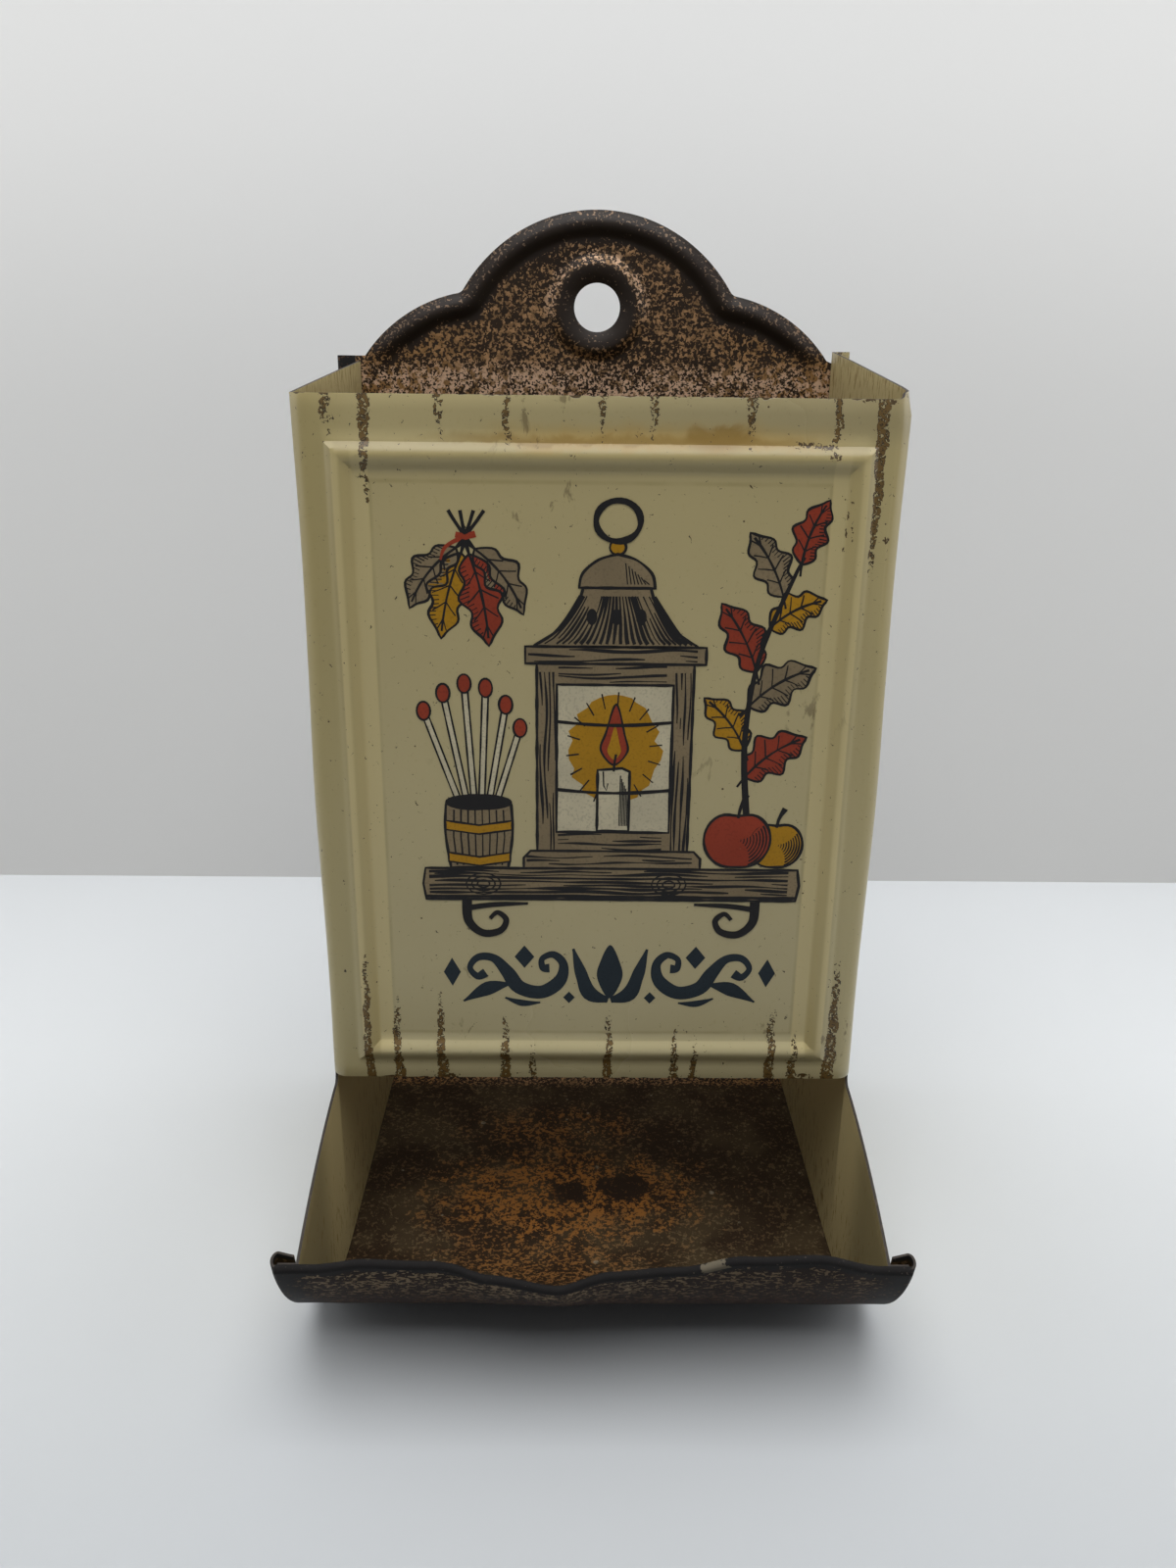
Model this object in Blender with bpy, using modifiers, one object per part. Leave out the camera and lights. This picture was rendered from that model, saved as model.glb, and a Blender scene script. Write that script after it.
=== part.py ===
"""Pressed-tin match holder: an open-topped box on a wall plate, over a curved catch tray.

It is folded from two sheets. body_shell is the painted one: front panel, sides and the cheeks of the
tray, with a narrow flange turned outwards along each side's rear, bottom and scoop edges. back_and_tray
is the other: scalloped back plate, floor and scoop, with its side edges hemmed over those flanges.
Metres, +Z up, the front towards -Y, the origin on the table under the middle of the outline.
"""

import math

import bmesh
import bpy
from mathutils import Vector

# Both sheets
SHEET = 0.0004
SEAM_GAP = 0.0003

# Box: outer width over the sides, depth from the back plate's face to the front panel's outer face
BODY_WIDTH = 0.0820
BODY_DEPTH = 0.0558
PANEL_HEIGHT = 0.1023
MOUTH_HEIGHT = 0.0353
CORNER_RADIUS = 0.0025
SIDE_RISE = 0.0042

# Pressed frame ridge on the front panel
RIDGE_SIDE_MARGIN = 0.0053
RIDGE_TOP_MARGIN = 0.0060
RIDGE_BOTTOM_MARGIN = 0.0032
RIDGE_WIDTH = 0.0043
RIDGE_FLANK = 0.0011
RIDGE_HEIGHT = 0.0008

# Cheeks of the tray, under the panel's lower edge
CHEEK_DROP = 0.0025
CHEEK_BOW = 0.0012
CHEEK_RELIEF_RADIUS = 0.0015

# Hemmed seams
HEM_REACH = 0.00345
HEM_SPARE = 0.0005

# Floor and scoop, measured on the face that the matches lie on
OVERALL_DEPTH = 0.0880
REAR_BEND_RADIUS = 0.0030
SCOOP_RADIUS = 0.0370
SCOOP_ANGLE = math.radians(70.75)
FLANGE_END_ANGLE = math.radians(69.75)

# Rolled lip: its roll, and the wave that years of use have left in it
LIP_ROLL_RADIUS = 0.00055
LIP_ROLL_ANGLE = math.radians(180)
LIP_RETURN = 0.0012
LIP_WAVE_ANGLE = math.radians(4.5)
LIP_BULGE = 0.0018
LIP_WAVE_SHARES = (
    (-1.0, 0.0),
    (-0.78, 0.50),
    (-0.57, 0.35),
    (-0.36, -0.45),
    (-0.13, -1.0),
    (0.06, -0.30),
    (0.30, 0.0),
    (0.52, 0.75),
    (0.78, 0.90),
    (1.0, 0.0),
)

# Scalloped head of the back plate, its arcs as shares of the half width between the shoulders
SHOULDER_RISE = 0.0009
SHOULDER_INSET = 0.0012
CROWN_RADIUS_SHARE = 0.674
CROWN_DROP_SHARE = 0.0905
LOBE_RADIUS_SHARE = 0.662
LOBE_DROP_SHARE = 0.396
NOTCH_RADIUS = 0.0016

# Rolled rim of the head
RIM_WIDTH = 0.0042
RIM_HEIGHT = 0.0010
RIM_FADE = 0.0060
RIM_RUN_OUT = 0.0010
RIM_SLOPE_POWER = 1.5

# Hanging hole and the ring pressed round it, under the crown's rim
HOLE_RADIUS = 0.00395
RING_INNER_FLANK = 0.00265
RING_OUTER_FLANK = 0.0021
RING_HEIGHT = 0.0010
RING_LIP_HEIGHT = 0.0002
RING_CLEARANCE = 0.0022

# Facets: steps along each curved stretch, and points closer than the weld are one
STEPS_ACROSS = 30
HEM_STEPS = 6
BEND_STEPS = 5
SCOOP_STEPS = 16
ROLL_STEPS = 5
CORNER_STEPS = 5
FLANK_STEPS = 4
CHEEK_STEPS = 6
RELIEF_STEPS = 4
CROWN_STEPS = 14
NOTCH_STEPS = 3
LOBE_STEPS = 9
RIM_STEPS = 7
RING_STEPS = 40
RING_FLANK_STEPS = 4
WELD_SHARE = 0.01
SHARP_ANGLE = math.radians(35)

# Finishes: colour, metallic value, roughness
CREAM_PAINT = ((0.48, 0.42, 0.25, 1.0), 0.0, 0.45)
BRONZE_MOTTLE = ((0.11, 0.06, 0.035, 1.0), 0.35, 0.45)

# Places that follow from the sizes
WELD = SHEET * WELD_SHARE
HALF_SHEET = SHEET / 2
FLOOR_Z = SHEET
BACK_Y = OVERALL_DEPTH / 2 - SHEET
FRONT_Y = BACK_Y - BODY_DEPTH
PANEL_BOTTOM_Z = FLOOR_Z + MOUTH_HEIGHT
PANEL_TOP_Z = PANEL_BOTTOM_Z + PANEL_HEIGHT
CHEEK_Z = PANEL_BOTTOM_Z - CHEEK_DROP
SIDE_TOP_Z = PANEL_TOP_Z + SIDE_RISE
SCOOP_CENTRE_Z = FLOOR_Z + SCOOP_RADIUS

# Layers of the seam, counted from the inner face of the back-and-tray sheet towards the matches
TRAY_LAYER = -HALF_SHEET
FLANGE_LAYER = SEAM_GAP + HALF_SHEET
HEM_LAYER = FLANGE_LAYER + SHEET + SEAM_GAP
HEM_FOLD_RADIUS = (HEM_LAYER - TRAY_LAYER) / 2
SIDE_X = BODY_WIDTH / 2 - HALF_SHEET
HEM_OUTER_X = BODY_WIDTH / 2 + HEM_REACH
HEM_FOLD_X = HEM_OUTER_X - HALF_SHEET - HEM_FOLD_RADIUS
HEM_END_X = BODY_WIDTH / 2 + SEAM_GAP
FLANGE_X = HEM_OUTER_X - SHEET - HEM_SPARE

# Head: shoulders, crown, lobes, ring, and the row under them where the plate's straight part starts
SHOULDER_X = BODY_WIDTH / 2 - SHOULDER_INSET
SHOULDER_Z = SIDE_TOP_Z + SHOULDER_RISE
CROWN_RADIUS = SHOULDER_X * CROWN_RADIUS_SHARE
CROWN_Z = SHOULDER_Z - SHOULDER_X * CROWN_DROP_SHARE
LOBE_RADIUS = SHOULDER_X * LOBE_RADIUS_SHARE
LOBE_DROP = SHOULDER_X * LOBE_DROP_SHARE
LOBE_X = SHOULDER_X - math.sqrt(LOBE_RADIUS**2 - LOBE_DROP**2)
LOBE_Z = SHOULDER_Z - LOBE_DROP
RING_CREST_RADIUS = HOLE_RADIUS + RING_INNER_FLANK
RING_OUTER_RADIUS = RING_CREST_RADIUS + RING_OUTER_FLANK
HOLE_Z = CROWN_Z + CROWN_RADIUS - RIM_WIDTH - RING_CLEARANCE - RING_OUTER_RADIUS
ROW_Z = min(SHOULDER_Z, HOLE_Z - RING_OUTER_RADIUS) - RIM_WIDTH


def smooth(share):
    """Eased 0 to 1."""
    share = min(max(share, 0.0), 1.0)
    return share * share * (3 - 2 * share)


def lip_wave(x):
    """Rise of the lip at x as a share of its wave, 0 at the shoulders' width."""
    place = x / SHOULDER_X
    for (left, low), (right, high) in zip(LIP_WAVE_SHARES, LIP_WAVE_SHARES[1:]):
        if left <= place <= right:
            return low + (high - low) * smooth((place - left) / (right - left))
    return 0.0


def lip_bulge(x):
    """How far the lip is pushed forwards at x, where it dips."""
    return LIP_BULGE * max(0.0, -lip_wave(x))


def lip_reach(x):
    """How far in front of the scoop's centre the lip's roll comes at x."""
    angle = SCOOP_ANGLE + LIP_WAVE_ANGLE * lip_wave(x)
    roll_centre = (SCOOP_RADIUS + HALF_SHEET + LIP_ROLL_RADIUS) * math.sin(angle)
    return roll_centre + LIP_ROLL_RADIUS + HALF_SHEET + lip_bulge(x)


def row_places():
    """X of the points across the sheet, from fold to fold."""
    across = [SHOULDER_X * (2 * i / STEPS_ACROSS - 1) for i in range(STEPS_ACROSS + 1)]
    return [-HEM_FOLD_X, *across, HEM_FOLD_X]


SCOOP_CENTRE_Y = max(lip_reach(x) for x in row_places()) - OVERALL_DEPTH / 2


def arc(centre, radius, start, end, steps):
    """Points (y, z) on an arc, angles counted from +Y towards +Z."""
    turns = [start + (end - start) * i / steps for i in range(steps + 1)]
    return [(centre[0] + radius * math.cos(turn), centre[1] + radius * math.sin(turn)) for turn in turns]


def bowed(start, end, bow, steps):
    """Points from start to end, bowed upwards by bow at mid-length."""
    points = []
    for i in range(steps + 1):
        share = i / steps
        y = start[0] + (end[0] - start[0]) * share
        z = start[1] + (end[1] - start[1]) * share + bow * 4 * share * (1 - share)
        points.append((y, z))
    return points


def finish(name, bm, collection, paint):
    """Makes the open sheet an object, gives it its thickness and its finish."""
    bmesh.ops.remove_doubles(bm, verts=bm.verts, dist=WELD)
    bmesh.ops.recalc_face_normals(bm, faces=bm.faces)
    mesh = bpy.data.meshes.new(name)
    bm.to_mesh(mesh)
    bm.free()
    mesh.shade_smooth()
    mesh.set_sharp_from_angle(angle=SHARP_ANGLE)
    sheet = bpy.data.objects.new(name, mesh)
    collection.objects.link(sheet)
    solidify = sheet.modifiers.new("sheet", "SOLIDIFY")
    solidify.thickness = SHEET
    solidify.offset = 0
    solidify.use_even_offset = True
    solidify.use_quality_normals = True
    mesh.materials.append(finish_material(name, *paint))
    return sheet


def finish_material(name, colour, metallic, roughness):
    material = bpy.data.materials.new(name)
    material.use_nodes = True
    shader = material.node_tree.nodes["Principled BSDF"]
    shader.inputs["Base Color"].default_value = colour
    shader.inputs["Metallic"].default_value = metallic
    shader.inputs["Roughness"].default_value = roughness
    return material


def extruded(bm, edges, offset):
    """Extrudes the edges by offset and returns the new ones."""
    made = bmesh.ops.extrude_edge_only(bm, edges=edges)["geom"]
    verts = [item for item in made if isinstance(item, bmesh.types.BMVert)]
    bmesh.ops.translate(bm, verts=verts, vec=offset)
    return [item for item in made if isinstance(item, bmesh.types.BMEdge)]


def spun(bm, edges, centre, axis, angle, steps):
    """Spins the edges about an axis and returns the last ones."""
    geom = edges + list({vert for edge in edges for vert in edge.verts})
    made = bmesh.ops.spin(bm, geom=geom, cent=centre, axis=axis, angle=angle, steps=steps)["geom_last"]
    return [item for item in made if isinstance(item, bmesh.types.BMEdge)]


def strip(bm, points):
    """A chain of edges through the points."""
    verts = [bm.verts.new(point) for point in points]
    return [bm.edges.new(pair) for pair in zip(verts, verts[1:])]


def front_panel(bm):
    """The front panel between its rounded corners, with the ridge pressed out of it."""
    mid_y = FRONT_Y + HALF_SHEET
    edge_x = BODY_WIDTH / 2 - CORNER_RADIUS
    low, high = PANEL_BOTTOM_Z, PANEL_TOP_Z
    corners = [(-edge_x, low), (edge_x, low), (edge_x, high), (-edge_x, high)]
    panel = bm.faces.new([bm.verts.new((x, mid_y, z)) for x, z in corners])
    panel.normal_update()
    side_margin = RIDGE_SIDE_MARGIN - CORNER_RADIUS
    bmesh.ops.inset_individual(bm, faces=[panel], thickness=side_margin, depth=0)
    for vert in panel.verts:
        if vert.co.z > (low + high) / 2:
            vert.co.z = high - RIDGE_TOP_MARGIN
        else:
            vert.co.z = low + RIDGE_BOTTOM_MARGIN
    step = RIDGE_FLANK / FLANK_STEPS
    rises = [RIDGE_HEIGHT * smooth(i / FLANK_STEPS) for i in range(FLANK_STEPS + 1)]
    climb = [(step, after - before) for before, after in zip(rises, rises[1:])]
    descent = [(step, -rise) for step, rise in climb[::-1]]
    for width, rise in [*climb, (RIDGE_WIDTH - 2 * RIDGE_FLANK, 0), *descent]:
        bmesh.ops.inset_individual(bm, faces=[panel], thickness=width, depth=rise)
    sides = {-1: [], 1: []}
    for edge in bm.edges:
        for hand, found in sides.items():
            if all(hand * vert.co.x > edge_x - WELD for vert in edge.verts):
                found.append(edge)
    return sides


def seam_path(layer, end_angle):
    """Points (y, z) of one layer of the seam: down the back, along the floor and up the scoop."""
    bend = (BACK_Y - REAR_BEND_RADIUS, FLOOR_Z + REAR_BEND_RADIUS)
    down = -math.pi / 2
    rear = arc(bend, REAR_BEND_RADIUS - layer, 0, down, BEND_STEPS)
    scoop_centre = (SCOOP_CENTRE_Y, SCOOP_CENTRE_Z)
    scoop = arc(scoop_centre, SCOOP_RADIUS - layer, down, down - end_angle, SCOOP_STEPS)
    return [(BACK_Y - layer, SHOULDER_Z), *rear, *scoop]


def side_outline():
    """The side's outline (y, z): its seam first, then the cheek's upper edge and the panel's corner."""
    seam = seam_path(FLANGE_LAYER, FLANGE_END_ANGLE)
    corner_y = FRONT_Y + CORNER_RADIUS
    relief_centre = (corner_y - CHEEK_RELIEF_RADIUS, CHEEK_Z + CHEEK_RELIEF_RADIUS)
    relief = arc(relief_centre, CHEEK_RELIEF_RADIUS, -math.pi / 2, 0, RELIEF_STEPS)
    cheek = bowed(seam[-1], relief[0], CHEEK_BOW, CHEEK_STEPS)
    return seam, [*cheek[1:-1], *relief, (corner_y, PANEL_BOTTOM_Z), (corner_y, PANEL_TOP_Z)]


def body_shell(collection):
    """Front panel, sides and cheeks in one sheet."""
    bm = bmesh.new()
    panel_sides = front_panel(bm)
    for hand, corner in panel_sides.items():
        pivot = (hand * (BODY_WIDTH / 2 - CORNER_RADIUS), FRONT_Y + CORNER_RADIUS, 0)
        spun(bm, corner, pivot, (0, 0, 1), hand * math.pi / 2, CORNER_STEPS)
        seam, front = side_outline()
        seam[0] = (seam[0][0], SIDE_TOP_Z)
        verts = [bm.verts.new((hand * SIDE_X, y, z)) for y, z in seam + front]
        bm.faces.new(verts)
        folds = [bm.edges.get(pair) for pair in zip(verts, verts[1 : len(seam)])]
        extruded(bm, folds, (hand * (FLANGE_X - SIDE_X), 0, 0))
    return finish("body_shell", bm, collection, CREAM_PAINT)


def seam_row(bm, z):
    """Edges across the sheet at height z, from one hem's end round both folds to the other's."""
    tray_y = BACK_Y - TRAY_LAYER
    fold_y = tray_y - HEM_FOLD_RADIUS
    right = [(HEM_END_X, BACK_Y - HEM_LAYER)]
    for i in range(HEM_STEPS + 1):
        turn = math.pi / 2 * (2 * i / HEM_STEPS - 1)
        x = HEM_FOLD_X + HEM_FOLD_RADIUS * math.cos(turn)
        right.append((x, fold_y + HEM_FOLD_RADIUS * math.sin(turn)))
    left = [(-x, y) for x, y in right]
    flat = [(x, tray_y) for x in row_places()[1:-1]]
    return strip(bm, [(x, y, z) for x, y in left + flat + right[::-1]])


def bend_lip(verts):
    """Turns the scoop's points about its centre by the lip's wave, and pushes the dip forwards."""
    for vert in verts:
        across = vert.co.y - SCOOP_CENTRE_Y
        below = SCOOP_CENTRE_Z - vert.co.z
        if across >= 0 or abs(vert.co.x) > SHOULDER_X:
            continue
        radius = math.hypot(across, below)
        angle = math.atan2(-across, below)
        share = min(angle / SCOOP_ANGLE, 1.0)
        turned = angle + LIP_WAVE_ANGLE * lip_wave(vert.co.x) * share
        vert.co.y = SCOOP_CENTRE_Y - radius * math.sin(turned) - lip_bulge(vert.co.x) * smooth(2 * share - 1)
        vert.co.z = SCOOP_CENTRE_Z - radius * math.cos(turned)


def floor_and_scoop(bm, row):
    """Runs the row down the back, round the rear bend, along the floor, up the scoop and over the lip."""
    bend_z = FLOOR_Z + REAR_BEND_RADIUS
    edges = extruded(bm, row, (0, 0, bend_z - ROW_Z))
    edges = spun(bm, edges, (0, BACK_Y - REAR_BEND_RADIUS, bend_z), (1, 0, 0), -math.pi / 2, BEND_STEPS)
    edges = extruded(bm, edges, (0, SCOOP_CENTRE_Y - BACK_Y + REAR_BEND_RADIUS, 0))
    edges = spun(bm, edges, (0, SCOOP_CENTRE_Y, SCOOP_CENTRE_Z), (1, 0, 0), -SCOOP_ANGLE, SCOOP_STEPS)
    lip = [edge for edge in edges if all(is_flat(vert) for vert in edge.verts)]
    reach = SCOOP_RADIUS + HALF_SHEET + LIP_ROLL_RADIUS
    roll_centre = (
        0,
        SCOOP_CENTRE_Y - reach * math.sin(SCOOP_ANGLE),
        SCOOP_CENTRE_Z - reach * math.cos(SCOOP_ANGLE),
    )
    lip = spun(bm, lip, roll_centre, (1, 0, 0), LIP_ROLL_ANGLE, ROLL_STEPS)
    downwards = LIP_RETURN * Vector((0, math.cos(SCOOP_ANGLE), -math.sin(SCOOP_ANGLE)))
    extruded(bm, lip, downwards)


def is_flat(vert):
    """True on the scoop's own layer, false on the hems folded over it."""
    away = math.hypot(vert.co.y - SCOOP_CENTRE_Y, vert.co.z - SCOOP_CENTRE_Z)
    return abs(away - SCOOP_RADIUS - HALF_SHEET) < WELD and abs(vert.co.x) < HEM_FOLD_X + WELD


def rim_profile():
    """Points (inset, y) of the rim's half-round section, from the outline inwards."""
    points = []
    for i in range(RIM_STEPS + 1):
        share = i / RIM_STEPS
        rise = RIM_HEIGHT * math.sin(math.pi * share) ** RIM_SLOPE_POWER
        points.append((RIM_WIDTH * share, BACK_Y - TRAY_LAYER - rise))
    return points


def head_rim(bm):
    """The rolled rim of the head: its section swept round the crown, the notches and the lobes."""
    crown = Vector((0, 0, CROWN_Z))
    section = strip(bm, [(0, y, crown.z + CROWN_RADIUS - inset) for inset, y in rim_profile()])
    for hand in (-1, 1):
        lobe = Vector((hand * LOBE_X, 0, LOBE_Z))
        notch = notch_centre(crown, lobe, hand)
        crown_turn = math.atan2(abs(notch.x), notch.z - crown.z)
        lobe_turn = math.atan2(abs(notch.x - lobe.x), notch.z - lobe.z)
        end_turn = math.acos(LOBE_DROP_SHARE / LOBE_RADIUS_SHARE)
        edges = spun(bm, section, crown, (0, 1, 0), hand * crown_turn, CROWN_STEPS)
        edges = spun(bm, edges, notch, (0, 1, 0), hand * (lobe_turn - crown_turn), NOTCH_STEPS)
        edges = spun(bm, edges, lobe, (0, 1, 0), hand * (end_turn - lobe_turn), LOBE_STEPS)
        onwards = Vector((hand * math.cos(end_turn), 0, -math.sin(end_turn)))
        for vert in {vert for edge in edges for vert in edge.verts}:
            share = (LOBE_RADIUS - math.hypot(vert.co.x - lobe.x, vert.co.z - lobe.z)) / RIM_WIDTH
            vert.co += onwards * RIM_RUN_OUT * 4 * share * (1 - share)
    flat_y = BACK_Y - TRAY_LAYER
    for vert in bm.verts:
        vert.co.y = flat_y + (vert.co.y - flat_y) * smooth((vert.co.z - SHOULDER_Z + RIM_WIDTH / 2) / RIM_FADE)


def notch_centre(crown, lobe, hand):
    """Centre of the notch's fillet, which touches the crown's circle and the lobe's from outside."""
    to_lobe = lobe - crown
    from_crown = CROWN_RADIUS + NOTCH_RADIUS
    from_lobe = LOBE_RADIUS + NOTCH_RADIUS
    apart = to_lobe.length
    along = (from_crown**2 - from_lobe**2 + apart**2) / (2 * apart)
    aside = math.sqrt(from_crown**2 - along**2)
    unit = to_lobe / apart
    return crown + unit * along + Vector((-unit.z, 0, unit.x)) * aside * hand


def ring_profile():
    """Points (radius, y) of the ring's section, from the hole's edge outwards."""
    flat_y = BACK_Y - TRAY_LAYER
    points = []
    for i in range(RING_FLANK_STEPS + 1):
        share = i / RING_FLANK_STEPS
        rise = RING_LIP_HEIGHT + (RING_HEIGHT - RING_LIP_HEIGHT) * math.sin(math.pi / 2 * share)
        points.append((HOLE_RADIUS + (RING_CREST_RADIUS - HOLE_RADIUS) * share, flat_y - rise))
    for i in range(1, RING_FLANK_STEPS + 1):
        share = i / RING_FLANK_STEPS
        rise = RING_HEIGHT * (1 - smooth(share))
        points.append((RING_CREST_RADIUS + (RING_OUTER_RADIUS - RING_CREST_RADIUS) * share, flat_y - rise))
    return points


def hanging_ring(bm):
    """The ring pressed round the hanging hole."""
    section = strip(bm, [(0, y, HOLE_Z + radius) for radius, y in ring_profile()])
    spun(bm, section, (0, 0, HOLE_Z), (0, 1, 0), 2 * math.pi, RING_STEPS)


def head_field(bm):
    """Fills the flat of the head between the rim, the ring and the row below."""
    border = []
    for edge in bm.edges:
        middle = (edge.verts[0].co + edge.verts[1].co) / 2
        from_hole = math.hypot(middle.x, middle.z - HOLE_Z)
        outline = middle.z > SHOULDER_Z and on_outline(edge)
        hole = from_hole < (HOLE_RADIUS + RING_CREST_RADIUS) / 2
        open_edge = len(edge.link_faces) < 2 and not hole and not outline
        if open_edge and abs(middle.x) < SHOULDER_X + WELD:
            border.append(edge)
    bmesh.ops.triangle_fill(bm, use_beauty=True, use_dissolve=False, edges=border)


def on_outline(edge):
    """True for an edge of the head's outer outline."""
    crown = Vector((0, 0, CROWN_Z))
    for vert in edge.verts:
        hand = math.copysign(1, vert.co.x)
        lobe = Vector((hand * LOBE_X, 0, LOBE_Z))
        notch = notch_centre(crown, lobe, hand)
        place = Vector((vert.co.x, 0, vert.co.z))
        gaps = (
            abs((place - crown).length - CROWN_RADIUS),
            abs((place - lobe).length - LOBE_RADIUS),
            abs((place - notch).length - NOTCH_RADIUS),
        )
        if min(gaps) > WELD:
            return False
    return True


def back_and_tray(collection):
    """Scalloped back plate, floor and scoop in one sheet, hemmed at its sides."""
    bm = bmesh.new()
    head_rim(bm)
    hanging_ring(bm)
    row = seam_row(bm, ROW_Z)
    hems = [edge for edge in row if all(abs(vert.co.x) > SHOULDER_X - WELD for vert in edge.verts)]
    extruded(bm, hems, (0, 0, SHOULDER_Z - ROW_Z))
    bmesh.ops.remove_doubles(bm, verts=bm.verts, dist=WELD)
    head_field(bm)
    row = [edge for edge in bm.edges if all(abs(vert.co.z - ROW_Z) < WELD for vert in edge.verts)]
    floor_and_scoop(bm, row)
    bend_lip(bm.verts)
    return finish("back_and_tray", bm, collection, BRONZE_MOTTLE)


def main():
    for obj in list(bpy.data.objects):
        bpy.data.objects.remove(obj, do_unlink=True)
    collection = bpy.data.collections.new("match_holder")
    bpy.context.scene.collection.children.link(collection)
    body_shell(collection)
    back_and_tray(collection)


main()
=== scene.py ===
"""Looks of a pressed-tin match holder: a painted box and its bronze back plate and catch tray.

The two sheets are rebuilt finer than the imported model, with worn paint and mottled bronze, and the box
gets a printed decoration. Metres, +Z up, the front towards -Y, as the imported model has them.
"""

import math
from types import SimpleNamespace

import bmesh
import bpy
from bpy.props import FloatProperty, FloatVectorProperty, PointerProperty
from mathutils import Matrix, Vector, noise
from mathutils.geometry import interpolate_bezier


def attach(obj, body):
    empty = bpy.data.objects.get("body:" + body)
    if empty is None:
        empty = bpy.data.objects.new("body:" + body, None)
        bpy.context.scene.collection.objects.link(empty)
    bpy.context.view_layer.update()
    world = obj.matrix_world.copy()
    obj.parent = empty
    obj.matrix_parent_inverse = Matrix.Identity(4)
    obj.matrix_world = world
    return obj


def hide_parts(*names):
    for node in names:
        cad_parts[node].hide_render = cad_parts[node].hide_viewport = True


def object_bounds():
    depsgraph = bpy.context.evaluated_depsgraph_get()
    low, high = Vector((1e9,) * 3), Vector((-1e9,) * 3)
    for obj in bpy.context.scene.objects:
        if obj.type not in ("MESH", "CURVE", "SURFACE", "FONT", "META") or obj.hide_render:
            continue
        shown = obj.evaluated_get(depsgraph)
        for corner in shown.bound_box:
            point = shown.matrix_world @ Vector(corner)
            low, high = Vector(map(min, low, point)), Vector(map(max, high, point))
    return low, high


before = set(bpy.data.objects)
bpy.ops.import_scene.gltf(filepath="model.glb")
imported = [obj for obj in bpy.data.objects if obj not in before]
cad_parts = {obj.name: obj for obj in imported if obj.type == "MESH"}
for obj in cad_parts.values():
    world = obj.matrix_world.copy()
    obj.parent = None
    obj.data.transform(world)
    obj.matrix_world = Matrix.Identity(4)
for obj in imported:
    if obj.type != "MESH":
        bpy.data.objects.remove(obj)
CAD_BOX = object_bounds()

bl_info = {
    "name": "Match holder",
    "version": (1, 0, 0),
    "blender": (4, 5, 0),
    "location": "View3D > Sidebar > Match holder",
    "description": "Builds the dressed match holder and its stage",
    "category": "Object",
}

# Wave that use has left in the lip: places across as shares of the half width, rise as shares of the wave
LIP_WAVE_SHARES = (
    (-1.0, 0.0),
    (-0.78, 0.50),
    (-0.57, 0.35),
    (-0.36, -0.45),
    (-0.13, -1.0),
    (0.06, -0.30),
    (0.30, 0.0),
    (0.52, 0.75),
    (0.78, 0.90),
    (1.0, 0.0),
)

# Steps along each curved stretch
STEPS_ACROSS = 96
HEM_STEPS = 12
BEND_STEPS = 10
SCOOP_STEPS = 36
ROLL_STEPS = 10
CORNER_STEPS = 10
FLANK_STEPS = 8
CHEEK_STEPS = 12
RELIEF_STEPS = 8
CROWN_STEPS = 36
NOTCH_STEPS = 8
LOBE_STEPS = 22
RIM_STEPS = 14
RING_STEPS = 96
RING_FLANK_STEPS = 10
PANEL_STEPS_ACROSS = 40
PANEL_STEPS_UP = 50
SIDE_STEPS = 14

# Points closer than this are one
WELD = 0.000004

# A millimetre in metres
MM = 0.001

# Edges sharper than this stay sharp, and those sharper than the next are rounded by a share of the sheet
SHARP_ANGLE = math.radians(38)
ROUNDED_ANGLE = math.radians(60)
ROUNDED_SHARE = 0.2

# Faces whose normals are along y by more than this share are upright
UPRIGHT_SHARE = 0.9

# Distance from the seams over which the dents grow to their depth
DENT_FADE = 20 * MM

# How far the rim's and the ring's sections reach into the flat, as shares of their width and radius
RIM_REACH_SHARE = 1.12
RING_REACH_SHARE = 1.05

# The hems open past this share of the way from the tray's layer to theirs, and within this turn of the lip
OPEN_FROM_SHARE = 0.05
OPEN_TURN = 0.08


def length(name, description, default):
    return FloatProperty(name=name, description=description, default=default, unit="LENGTH", precision=5)


def proportion(name, description, default):
    return FloatProperty(name=name, description=description, default=default, precision=5)


def turning(name, description, default):
    return FloatProperty(name=name, description=description, default=default, subtype="ANGLE")


def wattage(name, description, default):
    return FloatProperty(name=name, description=description, default=default, unit="POWER")


def colour(name, description, default):
    return FloatVectorProperty(name=name, description=description, default=default, size=3, subtype="COLOR")


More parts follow.
